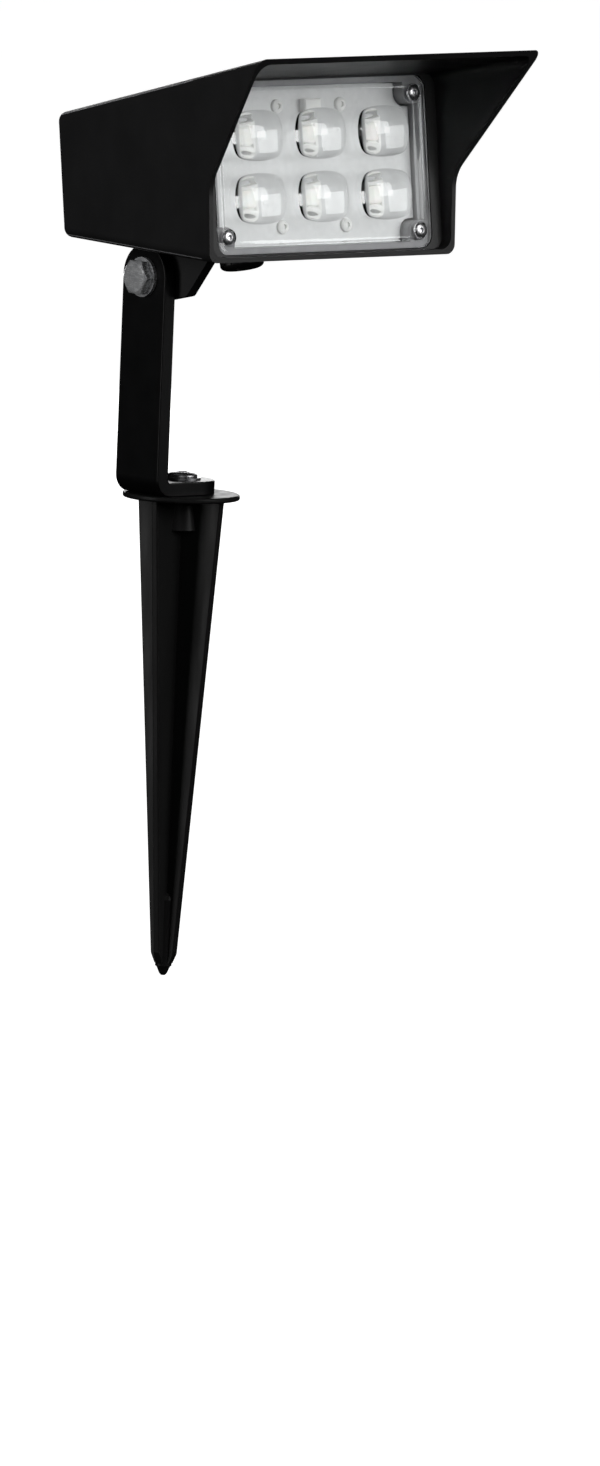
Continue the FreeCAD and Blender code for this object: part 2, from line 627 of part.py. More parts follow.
def inner_space():
    """Space inside the casting: the chamber, its narrowing, the plate's pocket and the flared mouth."""
    ledge_root = section(LEDGE_ROOT_F, WALL, INNER_CORNER)
    chamber = Part.makeLoft([section(BACK_F + WALL, WALL, INNER_CORNER), ledge_root], True, True)
    narrowing = Part.makeLoft([ledge_root, ledge_opening(0, LEDGE_CORNER, SEAT_F)], True, True)
    pocket = plate_block(PLATE_HALF_WIDTH + PLATE_GAP, plate_low() - PLATE_GAP, plate_high() + PLATE_GAP,
                         PLATE_CORNER + PLATE_GAP, SEAT_F, PLATE_FRONT_F)
    mouth = Part.makeLoft([section(PLATE_FRONT_F, WALL, INNER_CORNER), section(BEYOND_TIP_F, WALL, INNER_CORNER)],
                          True, True)
    return [chamber, narrowing, pocket, mouth]


def ear():
    """Lug under the casting that hangs on the tilt bolt: a rounded end, a slanted front and a rib behind."""
    tangent_angle = math.atan2(EAR_TIP_H, EAR_TIP_F) - math.acos(EAR_RADIUS / math.hypot(EAR_TIP_F, EAR_TIP_H))
    tangent = (EAR_RADIUS * math.cos(tangent_angle), EAR_RADIUS * math.sin(tangent_angle))
    low_angle = (tangent_angle - math.pi) / 2
    low = (EAR_RADIUS * math.cos(low_angle), EAR_RADIUS * math.sin(low_angle))
    root_rise = WALL / 2
    top_back = (-EAR_RADIUS, floor_height(-EAR_RADIUS) + root_rise)
    top_front = (EAR_ROOT_F, floor_height(EAR_ROOT_F) + root_rise)
    here = [head_point(EAR_OUTER_X, f, h) for f, h in
            (top_back, (-EAR_RADIUS, 0), low, tangent, (EAR_TIP_F, EAR_TIP_H), top_front)]
    edges = [Part.makeLine(here[0], here[1]), Part.Arc(here[1], here[2], here[3]).toShape(),
             Part.makeLine(here[3], here[4]), Part.makeLine(here[4], here[5]), Part.makeLine(here[5], here[0])]
    lug = Part.Face(Part.Wire(edges)).extrude(RIGHT * EAR_THICK)
    tip_edges = [edge for edge in lug.Edges
                 if all((vertex.Point - here[4]).cross(RIGHT).Length < 0.01 for vertex in edge.Vertexes)]
    lug = lug.makeFillet(EAR_TIP_ROUND, tip_edges)
    return fused([lug, ear_rib(-EAR_RADIUS + EAR_RIB_THICK), ear_rib(EAR_FRONT_RIB_F)])


def ear_rib(f):
    """Small gusset from the inner face of the ear to the casting's floor, in front of station f - its thickness."""
    inner_x = EAR_OUTER_X + EAR_THICK
    low = floor_height(f) - EAR_RIB_DROP
    high = floor_height(f) + WALL / 2
    corners = [(inner_x - EAR_THICK / 2, low), (inner_x, low), (inner_x + EAR_RIB_REACH, high),
               (inner_x - EAR_THICK / 2, high)]
    points = [head_point(x, f, h) for x, h in corners]
    return Part.Face(Part.makePolygon(points + points[:1])).extrude(BACKWARD * EAR_RIB_THICK)


def heat_post(x, h):
    """Post with a web to the side wall, for a screw of the heat plate."""
    side = math.copysign(1, x)
    post = forward_cylinder(HEAT_POST_RADIUS, x, h, HEAT_POST_ROOT_F, HEAT_PLATE_BACK_F)
    web_half = HEAT_POST_RADIUS / 2
    wall_x = side * (half_width(HEAT_PLATE_BACK_F) - WALL / 2)
    low = head_point(min(x, wall_x), HEAT_PLATE_BACK_F, h - web_half)
    high = head_point(max(x, wall_x), HEAT_POST_ROOT_F, h + web_half)
    return fused([post, box(low, high)])


def driver_post_places():
    """Centres of the driver's posts, as (x, f)."""
    return [(sx * POST_X, f) for sx in (-1, 1) for f in (DRIVER_BACK_F + POST_EDGE, DRIVER_FRONT_F - POST_EDGE)]


def driver_post(x, f):
    """Post on the casting's floor for a screw of the driver board."""
    base_h = floor_height(f) + WALL / 2
    return Part.makeCylinder(POST_RADIUS, POST_TOP_H - base_h, head_point(x, f, base_h), UP)


def floor_normal():
    """Outward normal of the casting's floor."""
    lean = math.atan(FLOOR_DROP)
    return Vector(0, math.sin(lean), -math.cos(lean))


def gland_point(out):
    """Point on the gland's axis, at a distance outside the casting's floor."""
    return head_point(0, GLAND_F, floor_height(GLAND_F)) + floor_normal() * out


def head_housing():
    """Die-cast body with its hood, ledge, posts and ear in one piece."""
    skin = outer_skin()
    shell = skin.cut(mouth_cutter())
    for space in inner_space():
        shell = shell.cut(space)
    posts = [heat_post(x, h).common(skin) for x, h in mirrored_pairs(HEAT_POST_X, HEAT_POST_H)]
    posts += [boss.common(skin) for boss in corner_bosses(0, LEDGE_ROOT_F, SEAT_F)]
    posts += [driver_post(x, f) for x, f in driver_post_places()]
    casting = fused([shell, ear()] + posts)
    return casting.cut(Part.makeCompound(housing_holes()))


def housing_holes():
    """Screw holes, the tilt bolt's hole and the gland's hole."""
    holes = [forward_cylinder(LENS_SCREW_RADIUS, x, h, lens_screw_seat_f() - LENS_SCREW_LENGTH, SEAT_F)
             for x, h in mirrored_pairs(LENS_SCREW_X, LENS_SCREW_H)]
    holes += [forward_cylinder(HEAT_SCREW_RADIUS, x, h, HEAT_PLATE_FRONT_F - HEAT_SCREW_LENGTH, HEAT_PLATE_BACK_F)
              for x, h in mirrored_pairs(HEAT_POST_X, HEAT_POST_H)]
    screw_depth = DRIVER_SCREW_LENGTH - DRIVER_BOARD_THICK
    holes += [Part.makeCylinder(DRIVER_SCREW_RADIUS, screw_depth, head_point(x, f, POST_TOP_H), DOWN)
              for x, f in driver_post_places()]
    holes.append(Part.makeCylinder(BOLT_RADIUS + TURNING_GAP, EAR_THICK, Vector(EAR_OUTER_X, 0, 0), RIGHT))
    holes.append(Part.makeCylinder(GLAND_THREAD_RADIUS + HOLE_GAP, WALL * 3, gland_point(-WALL * 2), floor_normal()))
    return holes


# ---- Lens plate, gasket and their screws ----
def ellipsoid(half_x, half_f, half_h, x, f, h):
    """Ellipsoid by stretching a unit sphere along the head's three directions."""
    stretch = FreeCAD.Matrix()
    stretch.scale(half_x, half_f, half_h)
    solid = Part.makeSphere(1.0).transformGeometry(stretch)
    solid.translate(head_point(x, f, h))
    return solid


def lens_dome(x, h):
    """Front half of an oval lens, rooted in the plate."""
    return ellipsoid(LENS_HALF_WIDTH, LENS_RISE, LENS_HALF_HEIGHT, x, PLATE_FRONT_F, h).common(
        box(head_point(x - LENS_PITCH_X, PLATE_FRONT_F + LENS_RISE * 2, h - LENS_PITCH_H),
            head_point(x + LENS_PITCH_X, PLATE_FRONT_F - PLATE_THICK / 2, h + LENS_PITCH_H)))


def lens_hollow(x, h):
    """Oval hollow in the back of a lens, over its emitter."""
    return ellipsoid(LENS_HOLLOW_HALF_WIDTH, LENS_HOLLOW_DEPTH, LENS_HOLLOW_HALF_HEIGHT, x, PLATE_BACK_F, h)


def lens_plate():
    """Clear moulded plate with its lenses, hollows and sunk screw holes."""
    plate = plate_block(PLATE_HALF_WIDTH, plate_low(), plate_high(), PLATE_CORNER, PLATE_BACK_F, PLATE_FRONT_F)
    plate = plate.multiFuse([lens_dome(x, h) for x, h in lens_places()])
    cutters = [lens_hollow(x, h) for x, h in lens_places()]
    for x, h in mirrored_pairs(LENS_SCREW_X, LENS_SCREW_H):
        cutters.append(forward_cylinder(LENS_SCREW_RADIUS + SCREW_HOLE_GAP, x, h, PLATE_BACK_F, PLATE_FRONT_F))
        cutters.append(forward_cylinder(LENS_SCREW_HEAD_RADIUS + SCREW_HOLE_GAP, x, h,
                                        lens_screw_seat_f(), PLATE_FRONT_F))
    return plate.cut(cutters)


def lens_screw_seat_f():
    """Station of the sunk seat under a lens screw's head."""
    return PLATE_FRONT_F - LENS_SCREW_SINK_DEPTH


def lens_screws():
    """Four screws that pull the plate onto the gasket."""
    return [pan_screw(LENS_SCREW_RADIUS, LENS_SCREW_LENGTH, LENS_SCREW_HEAD_RADIUS, LENS_SCREW_HEAD_HEIGHT,
                      head_point(x, lens_screw_seat_f(), h), FORWARD)
            for x, h in mirrored_pairs(LENS_SCREW_X, LENS_SCREW_H)]


def lens_gasket():
    """Flat silicone frame on the ledge, with a hole for each screw."""
    outer = plate_block(PLATE_HALF_WIDTH, plate_low(), plate_high(), PLATE_CORNER, SEAT_F, PLATE_BACK_F)
    opening = Part.Face(ledge_opening(0, LEDGE_CORNER, SEAT_F)).extrude(FORWARD * GASKET_THICK)
    opening = opening.cut(corner_bosses(0, SEAT_F, PLATE_BACK_F))
    holes = [forward_cylinder(LENS_SCREW_RADIUS + SCREW_HOLE_GAP, x, h, SEAT_F, PLATE_BACK_F)
             for x, h in mirrored_pairs(LENS_SCREW_X, LENS_SCREW_H)]
    return outer.cut([opening] + holes)


# ---- Light engine ----
def heat_plate_outline(inset, back_f, front_f):
    """Plate that follows the chamber's opening at the ledge and its corner bosses, inset from them."""
    outline = ledge_opening(HEAT_PLATE_GAP + inset, LEDGE_CORNER - inset, back_f)
    plate = Part.Face(outline).extrude(FORWARD * (front_f - back_f))
    return plate.cut(corner_bosses(HEAT_PLATE_GAP + inset, back_f, front_f))


def heat_plate():
    """Aluminium plate that carries the light board and closes the chamber."""
    plate = heat_plate_outline(0, HEAT_PLATE_BACK_F, HEAT_PLATE_FRONT_F)
    cutters = [forward_cylinder(LEAD_HOLE_RADIUS, 0, PLATE_CENTRE_H + LEAD_HOLE_H,
                                HEAT_PLATE_BACK_F, HEAT_PLATE_FRONT_F)]
    cutters += [forward_cylinder(BOARD_SCREW_RADIUS, x, h, HEAT_PLATE_BACK_F, HEAT_PLATE_FRONT_F)
                for x, h in mirrored_pairs(BOARD_SCREW_X, BOARD_SCREW_H)]
    cutters += [countersunk_screw(x, h) for x, h in mirrored_pairs(HEAT_POST_X, HEAT_POST_H)]
    return plate.cut(cutters)


def countersunk_screw(x, h):
    """Screw whose flat head lies flush with the heat plate's front."""
    cone_height = HEAT_SCREW_HEAD_RADIUS - HEAT_SCREW_RADIUS
    tip = head_point(x, HEAT_PLATE_FRONT_F - HEAT_SCREW_LENGTH, h)
    profile = [(0, 0), (HEAT_SCREW_RADIUS, 0), (HEAT_SCREW_RADIUS, HEAT_SCREW_LENGTH - cone_height),
               (HEAT_SCREW_HEAD_RADIUS, HEAT_SCREW_LENGTH), (0, HEAT_SCREW_LENGTH)]
    return revolved(profile, tip, FORWARD)


def heat_plate_screws():
    """Four flush screws into the casting's posts."""
    return [countersunk_screw(x, h) for x, h in mirrored_pairs(HEAT_POST_X, HEAT_POST_H)]


def lead_grommet():
    """Rubber ring where the light board's leads pass the heat plate."""
    h = PLATE_CENTRE_H + LEAD_HOLE_H
    sleeve = forward_cylinder(LEAD_HOLE_RADIUS, 0, h, HEAT_PLATE_BACK_F, HEAT_PLATE_FRONT_F)
    rim = forward_cylinder(LEAD_HOLE_RADIUS + GROMMET_RIM, 0, h, HEAT_PLATE_BACK_F - GROMMET_RIM_THICK,
                           HEAT_PLATE_BACK_F)
    bore = forward_cylinder(lead_bore_radius(), 0, h, HEAT_PLATE_BACK_F - GROMMET_RIM_THICK, HEAT_PLATE_FRONT_F)
    return fused([sleeve, rim]).cut(bore)


def lead_bore_radius():
    """Bore that takes both leads side by side."""
    return LEAD_SPACING / 2 + LEAD_RADIUS + SCREW_HOLE_GAP


def thermal_pad():
    """Soft pad between the heat plate and the light board, cut out round the screws and the leads."""
    pad = plate_block(PAD_HALF_WIDTH, PLATE_CENTRE_H - PAD_HALF_HEIGHT, PLATE_CENTRE_H + PAD_HALF_HEIGHT, PAD_CORNER,
                      HEAT_PLATE_FRONT_F, BOARD_BACK_F)
    cutters = [forward_cylinder(BOARD_SCREW_RADIUS + SCREW_HOLE_GAP, x, h, HEAT_PLATE_FRONT_F, BOARD_BACK_F)
               for x, h in mirrored_pairs(BOARD_SCREW_X, BOARD_SCREW_H)]
    cutters.append(lead_slot(HEAT_PLATE_FRONT_F, BOARD_BACK_F))
    return pad.cut(cutters)


def lead_slot(back_f, front_f):
    """Round opening for the leads."""
    return forward_cylinder(lead_bore_radius(), 0, PLATE_CENTRE_H + LEAD_HOLE_H, back_f, front_f)


def led_board():
    """White aluminium-core board with its screw holes and the lead opening."""
    board = heat_plate_outline(BOARD_INSET, BOARD_BACK_F, BOARD_FRONT_F)
    cutters = [forward_cylinder(BOARD_SCREW_RADIUS + SCREW_HOLE_GAP, x, h, BOARD_BACK_F, BOARD_FRONT_F)
               for x, h in mirrored_pairs(BOARD_SCREW_X, BOARD_SCREW_H)]
    cutters.append(lead_slot(BOARD_BACK_F, BOARD_FRONT_F))
    return board.cut(cutters)


def board_screws():
    """Four pan-head screws through the board and the pad into the heat plate."""
    length = BOARD_FRONT_F - HEAT_PLATE_BACK_F
    return [pan_screw(BOARD_SCREW_RADIUS, length, BOARD_SCREW_HEAD_RADIUS, BOARD_SCREW_HEAD_HEIGHT,
                      head_point(x, BOARD_FRONT_F, h), FORWARD)
            for x, h in mirrored_pairs(BOARD_SCREW_X, BOARD_SCREW_H)]


def led_emitters():
    """One emitter package behind each lens: a square body with a low clear cap."""
    packages = []
    for x, h in lens_places():
        body = box(head_point(x - LED_HALF_WIDTH, BOARD_FRONT_F + LED_THICK, h - LED_HALF_HEIGHT),
                   head_point(x + LED_HALF_WIDTH, BOARD_FRONT_F, h + LED_HALF_HEIGHT))
        cap = Part.makeCone(LED_DOME_RADIUS, LED_DOME_FACE_RADIUS, LED_DOME_RISE,
                            head_point(x, BOARD_FRONT_F + LED_THICK, h), FORWARD)
        packages.append(fused([body, cap]))
    return packages


def led_connector():
    """Two-way connector on the board's front, over the lead opening."""
    h = PLATE_CENTRE_H + LEAD_HOLE_H
    body = box(head_point(-CONNECTOR_HALF_WIDTH, BOARD_FRONT_F + CONNECTOR_THICK, h - CONNECTOR_HALF_HEIGHT),
               head_point(CONNECTOR_HALF_WIDTH, BOARD_FRONT_F, h + CONNECTOR_HALF_HEIGHT))
    front_edges = [edge for edge in body.Edges
                   if all(abs(vertex.Y + BOARD_FRONT_F + CONNECTOR_THICK) < 0.01 for vertex in edge.Vertexes)]
    return body.makeChamfer(CONNECTOR_CHAMFER, front_edges)


def lead_route(shift):
    """Route of one lead from the driver's header to the light board's connector."""
    end_h = PLATE_CENTRE_H + LEAD_HOLE_H
    start_h = DRIVER_TOP_H + HEADER_HEIGHT / 2
    return [head_point(HEADER_X + shift, DRIVER_FRONT_F, start_h),
            head_point(HEADER_X + shift, DRIVER_FRONT_F + LEAD_STRAIGHT, start_h),
            head_point(shift, HEAT_PLATE_BACK_F - LEAD_STRAIGHT, end_h), head_point(shift, BOARD_FRONT_F, end_h)]


def round_tube(points, radius):
    """Tube along straight runs joined by tangent arcs."""
    edges = []
    here = points[0]
    for before, corner, after in zip(points, points[1:], points[2:]):
        back = (before - corner).normalize()
        ahead = (after - corner).normalize()
        half_turn = (math.pi - back.getAngle(ahead)) / 2
        shorter = min((before - corner).Length, (after - corner).Length)
        trim = LEAD_BEND_SHARE * shorter
        bend_radius = trim / math.tan(half_turn)
        start = corner + back * trim
        end = corner + ahead * trim
        inward = (back + ahead).normalize()
        middle = corner + inward * (bend_radius / math.cos(half_turn) - bend_radius)
        edges.append(Part.makeLine(here, start))
        edges.append(Part.Arc(start, middle, end).toShape())
        here = end
    edges.append(Part.makeLine(here, points[-1]))
    path = Part.Wire(edges)
    circle = Part.Wire(Part.makeCircle(radius, points[0], points[1] - points[0]))
    return path.makePipeShell([circle], True, False)


def led_leads():
    """The two insulated leads of the light board."""
    return [round_tube(lead_route(side * LEAD_SPACING / 2), LEAD_RADIUS) for side in (-1, 1)]


# ---- Driver ----
def driver_board():
    """Circuit board on the casting's posts."""
    board = box(head_point(-DRIVER_HALF_WIDTH, DRIVER_FRONT_F, POST_TOP_H),
                head_point(DRIVER_HALF_WIDTH, DRIVER_BACK_F, DRIVER_TOP_H))
    holes = [Part.makeCylinder(DRIVER_SCREW_RADIUS, DRIVER_BOARD_THICK, head_point(x, f, POST_TOP_H), UP)
             for x, f in driver_post_places()]
    return board.cut(holes)


def driver_screws():
    """Four screws that hold the driver board."""
    return [pan_screw(DRIVER_SCREW_RADIUS, DRIVER_SCREW_LENGTH, DRIVER_SCREW_HEAD_RADIUS,
                      DRIVER_SCREW_HEAD_HEIGHT, head_point(x, f, DRIVER_TOP_H), UP)
            for x, f in driver_post_places()]


def driver_transformer():
    """Ferrite core with two windows, and the winding on its middle limb."""
    base = head_point(TRANSFORMER_X, DRIVER_BACK_F + TRANSFORMER_FROM_BACK, DRIVER_TOP_H)
    half_width_x = CORE_WIDTH / 2
    half_depth = CORE_DEPTH / 2
    block = box(base + Vector(-half_width_x, -half_depth, 0), base + Vector(half_width_x, half_depth, CORE_HEIGHT))
    window_width = (CORE_WIDTH - 2 * CORE_LIMB - CORE_LIMB) / 2
    windows = []
    for side in (-1, 1):
        centre_x = side * (CORE_LIMB + window_width) / 2
        windows.append(box(base + Vector(centre_x - window_width / 2, -half_depth, CORE_LIMB / 2),
                           base + Vector(centre_x + window_width / 2, half_depth, CORE_HEIGHT - CORE_LIMB / 2)))
    core = block.cut(windows)
    winding = Part.makeCylinder(WINDING_RADIUS, CORE_HEIGHT - CORE_LIMB, base + UP * (CORE_LIMB / 2), UP)
    limb_and_sides = box(base + Vector(-half_width_x, -half_depth, 0),
                         base + Vector(-half_width_x + CORE_LIMB, half_depth, CORE_HEIGHT))
    far_side = limb_and_sides.translated(Vector(CORE_WIDTH - CORE_LIMB, 0, 0))
    return fused([core, winding.cut([limb_and_sides, far_side])])


def driver_capacitors():
    """Upright electrolytic capacitors, each with its crimped groove and rounded top."""
    cans = []
    for x, from_back, radius, height in CAPACITORS:
        waist = radius - CAPACITOR_GROOVE
        groove = [(radius, CAPACITOR_FOOT), (waist, CAPACITOR_FOOT + CAPACITOR_GROOVE),
                  (waist, CAPACITOR_FOOT + 2 * CAPACITOR_GROOVE), (radius, CAPACITOR_FOOT + 3 * CAPACITOR_GROOVE)]
        crown = [(radius, height - CAPACITOR_EDGE), (radius - CAPACITOR_EDGE, height), (0, height)]
        base = head_point(x, DRIVER_BACK_F + from_back, DRIVER_TOP_H)
        cans.append(revolved([(0, 0), (radius, 0)] + groove + crown, base, UP))
    return cans


def driver_choke():
    """Wound ring standing on the board."""
    centre = head_point(CHOKE_X, DRIVER_BACK_F + CHOKE_FROM_BACK, DRIVER_TOP_H + CHOKE_OUTER_RADIUS)
    return Part.makeTorus(CHOKE_OUTER_RADIUS - CHOKE_TUBE_RADIUS, CHOKE_TUBE_RADIUS, centre, BACKWARD)


def terminal_block():
    """Two-way screw terminal at the board's front edge, for the supply."""
    back_f = DRIVER_FRONT_F - TERMINAL_DEPTH
    body = box(head_point(TERMINAL_X - TERMINAL_WIDTH / 2, DRIVER_FRONT_F, DRIVER_TOP_H),
               head_point(TERMINAL_X + TERMINAL_WIDTH / 2, back_f, DRIVER_TOP_H + TERMINAL_HEIGHT))
    cutters = []
    half = TERMINAL_ENTRY / 2
    for side in (-1, 1):
        x = TERMINAL_X + side * TERMINAL_WIDTH / 4
        cutters.append(box(head_point(x - half, DRIVER_FRONT_F, DRIVER_TOP_H + half),
                           head_point(x + half, DRIVER_FRONT_F - TERMINAL_ENTRY_DEPTH, DRIVER_TOP_H + 3 * half)))
        top = head_point(x, back_f + TERMINAL_DEPTH / 2, DRIVER_TOP_H + TERMINAL_HEIGHT)
        cutters.append(Part.makeCylinder(TERMINAL_SCREW_RADIUS, TERMINAL_SCREW_DEPTH, top, DOWN))
    return body.cut(cutters)


def output_header():
    """Header on the driver board that the light board's leads leave."""
    return box(head_point(HEADER_X - HEADER_WIDTH / 2, DRIVER_FRONT_F, DRIVER_TOP_H),
               head_point(HEADER_X + HEADER_WIDTH / 2, DRIVER_FRONT_F - HEADER_DEPTH, DRIVER_TOP_H + HEADER_HEIGHT))


# ---- Cable gland ----
def gland_o_ring():
    """Sealing ring between the gland's collar and the casting."""
    return ring(GLAND_THREAD_RADIUS + O_RING_WIDTH, GLAND_THREAD_RADIUS, O_RING_THICK, gland_point(0), floor_normal())


def gland_body():
    """Gland body: threaded tube with a hexagonal collar."""
    inside = WALL + LOCKNUT_HEIGHT + GLAND_END_LENGTH
    outside = gland_seal_base()
    tube = Part.makeCylinder(GLAND_THREAD_RADIUS, inside + outside, gland_point(-inside), floor_normal())
    collar = hexagon(GLAND_FLATS, GLAND_COLLAR, gland_point(O_RING_THICK), floor_normal())
    bore = Part.makeCylinder(GLAND_BORE_RADIUS, inside + outside, gland_point(-inside), floor_normal())
    return fused([tube, collar]).cut(bore)


def gland_seal_base():
    """How far outside the casting's floor the gland's tube ends and its seal begins."""
    return O_RING_THICK + GLAND_COLLAR + GLAND_CAP_HEIGHT - GLAND_CAP_WALL - GLAND_SEAL_LENGTH


def gland_seal():
    """Rubber ring that the cap squeezes onto a cable."""
    return ring(GLAND_THREAD_RADIUS, GLAND_SEAL_BORE_RADIUS, GLAND_SEAL_LENGTH,
                gland_point(gland_seal_base()), floor_normal())


def gland_cap():
    """Domed cap nut with an open mouth."""
    base = gland_point(O_RING_THICK + GLAND_COLLAR)
    rise = GLAND_CAP_HEIGHT - GLAND_CAP_ROUND
    turns = [k * math.pi / 8 for k in range(5)]
    dome = [(GLAND_CAP_RADIUS - GLAND_CAP_DOME_REACH * (1 - math.cos(turn)), rise + GLAND_CAP_ROUND * math.sin(turn))
            for turn in turns]
    cap = revolved([(0, 0), (GLAND_CAP_RADIUS, 0)] + dome + [(0, GLAND_CAP_HEIGHT)], base, floor_normal())
    pocket = Part.makeCylinder(GLAND_THREAD_RADIUS, GLAND_CAP_HEIGHT - GLAND_CAP_WALL, base, floor_normal())
    mouth = Part.makeCylinder(GLAND_CAP_MOUTH_RADIUS, GLAND_CAP_HEIGHT, base, floor_normal())
    return cap.cut([pocket, mouth])


def gland_locknut():
    """Locknut inside the casting."""
    base = gland_point(-WALL * math.cos(math.atan(FLOOR_DROP)))
    inward = floor_normal() * -1
    nut = hexagon_with_chamfer(LOCKNUT_FLATS, LOCKNUT_HEIGHT, base, inward)
    return nut.cut(Part.makeCylinder(GLAND_THREAD_RADIUS, LOCKNUT_HEIGHT, base, inward))


STANDING_PIECES = {
    "ground_spike": ground_spike,
    "spike_insert": spike_insert,
    "foot_washer": foot_washer,
    "foot_screw": foot_screw,
    "arm_bracket": arm_bracket,
    "pivot_bolt": pivot_bolt,
    "pivot_washer": pivot_washer,
    "pivot_friction_washer": pivot_friction_washer,
    "pivot_spring_washer": pivot_spring_washer,
    "pivot_nut": pivot_nut,
}

HEAD_PIECES = {
    "head_housing": head_housing,
    "lens_gasket": lens_gasket,
    "lens_plate": lens_plate,
    "lens_screws": lens_screws,
    "heat_plate": heat_plate,
    "heat_plate_screws": heat_plate_screws,
    "lead_grommet": lead_grommet,
    "thermal_pad": thermal_pad,
    "led_board": led_board,
    "board_screws": board_screws,
    "led_emitters": led_emitters,
    "led_connector": led_connector,
    "led_leads": led_leads,
    "driver_board": driver_board,
    "driver_screws": driver_screws,
    "driver_transformer": driver_transformer,
    "driver_capacitors": driver_capacitors,
    "driver_choke": driver_choke,
    "terminal_block": terminal_block,
    "output_header": output_header,
    "gland_body": gland_body,
    "gland_seal": gland_seal,
    "gland_cap": gland_cap,
    "gland_o_ring": gland_o_ring,
    "gland_locknut": gland_locknut,
}


def write_piece(name, made, place):
    """Write one node, from one solid or from a list of separate ones."""
    solids = made if isinstance(made, list) else made.Solids
    placed = [place(solid) for solid in solids]
    shape = placed[0] if len(placed) == 1 else Part.makeCompound(placed)
    shape.exportStep(os.path.join("parts", name + ".step"))
    volume = sum(solid.Volume for solid in placed)
    print("%-24s solids %d  volume %.1f mm3  valid %s" % (name, len(shape.Solids), volume, shape.isValid()))


def main():
    """Build and write every piece."""
    os.makedirs("parts", exist_ok=True)
    for name, build in STANDING_PIECES.items():
        write_piece(name, build(), lambda shape: shape)
    for name, build in HEAD_PIECES.items():
        write_piece(name, build(), set_in_place)


main()
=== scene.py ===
import bmesh
import bpy
import math

from mathutils import Matrix, Vector


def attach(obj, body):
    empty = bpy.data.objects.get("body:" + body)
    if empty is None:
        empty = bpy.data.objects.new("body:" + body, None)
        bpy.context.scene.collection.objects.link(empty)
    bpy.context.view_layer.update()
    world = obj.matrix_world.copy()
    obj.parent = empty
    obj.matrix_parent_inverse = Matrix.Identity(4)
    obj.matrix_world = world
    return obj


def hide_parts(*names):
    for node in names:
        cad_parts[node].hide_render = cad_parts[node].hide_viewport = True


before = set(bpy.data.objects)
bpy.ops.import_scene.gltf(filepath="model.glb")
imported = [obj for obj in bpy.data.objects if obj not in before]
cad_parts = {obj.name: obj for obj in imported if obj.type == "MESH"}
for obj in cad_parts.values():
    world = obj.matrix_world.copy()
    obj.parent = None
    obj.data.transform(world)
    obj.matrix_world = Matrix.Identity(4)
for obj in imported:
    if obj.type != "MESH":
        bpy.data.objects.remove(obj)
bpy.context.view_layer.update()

# The garden spike spotlight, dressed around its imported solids. Metres, Z up, the lit face towards -Y.
# Sizes below are millimetres unless they say otherwise, and MM turns them into metres.
MM = 0.001

# ---- Sizes shared with the solids ----
PIVOT_Z = 89.6
HEAD_PITCH = 8.0
PLATE_BACK_F = 82.2
PLATE_FRONT_F = 85.2
PLATE_HALF_WIDTH = 55.4
PLATE_HALF_HEIGHT = 34.34
PLATE_CENTRE_H = 40.14
PLATE_CORNER = 5.5
LENS_PITCH_X = 32.6
LENS_PITCH_H = 25.1
LENS_SIZE = (26.6, 20.4)
LENS_RISE = 5.5
LENS_SUNK = 9.0               # how far below the plate's face a lens has its widest part
LENS_SPREAD = 1.2             # and how much wider it is there
RIM_INSETS = (0.4, 2.9, 0.5)  # steps inwards from the plate's edge to its raised middle
RIM_STEP = 0.5                # height of that middle over the rim
LENS_SCREW_X = 49.7
LENS_SCREW_H = 27.44
LENS_SCREW_SEAT_F = 84.2
BOARD_FRONT_F = 77.0
GLAND_F = 32.0
GLAND_FLOOR_H = 9.775
FLOOR_SLOPE = 0.125
GLAND_CAP_BASE = 3.4
BOLT_SEAT_X = -25.2
FOOT_TOP_Z = 8.6
# Middles of the chamber's walls on the head, as (normal inwards, reach in mm): two sides, roof, floor, back and seat.
CHAMBER_WALLS = [((1, -0.203, 0), 44.4), ((-1, -0.203, 0), 44.4), ((0, -0.082, -1), 69.0), ((0, -0.125, 1), -14.8),
                 ((0, -1, 0), 30.0), ((0, 1, 0), 80.95)]

# ---- Where things stand ----
HEAD = Matrix.Translation((0, 0, PIVOT_Z * MM)) @ Matrix.Rotation(math.radians(-HEAD_PITCH), 4, "X")
FACE_FORWARD = Matrix.Rotation(math.radians(90), 4, "X")
FACE_LEFT = Matrix.Rotation(math.radians(-90), 4, "Y")


def head_place(x, f, h):
    """Place on the head, its Z turned forwards."""
    return HEAD @ Matrix.Translation(Vector((x, -f, h)) * MM) @ FACE_FORWARD


def lens_places():
    """Centres of the six lenses, as (x, h) on the head."""
    return [(column * LENS_PITCH_X, PLATE_CENTRE_H + row * LENS_PITCH_H / 2)
            for row in (-1, 1) for column in (-1, 0, 1)]


def screw_places():
    """Centres of the four screws at the corners of the lens plate."""
    return [(side * LENS_SCREW_X, PLATE_CENTRE_H + level * LENS_SCREW_H)
            for side in (-1, 1) for level in (-1, 1)]


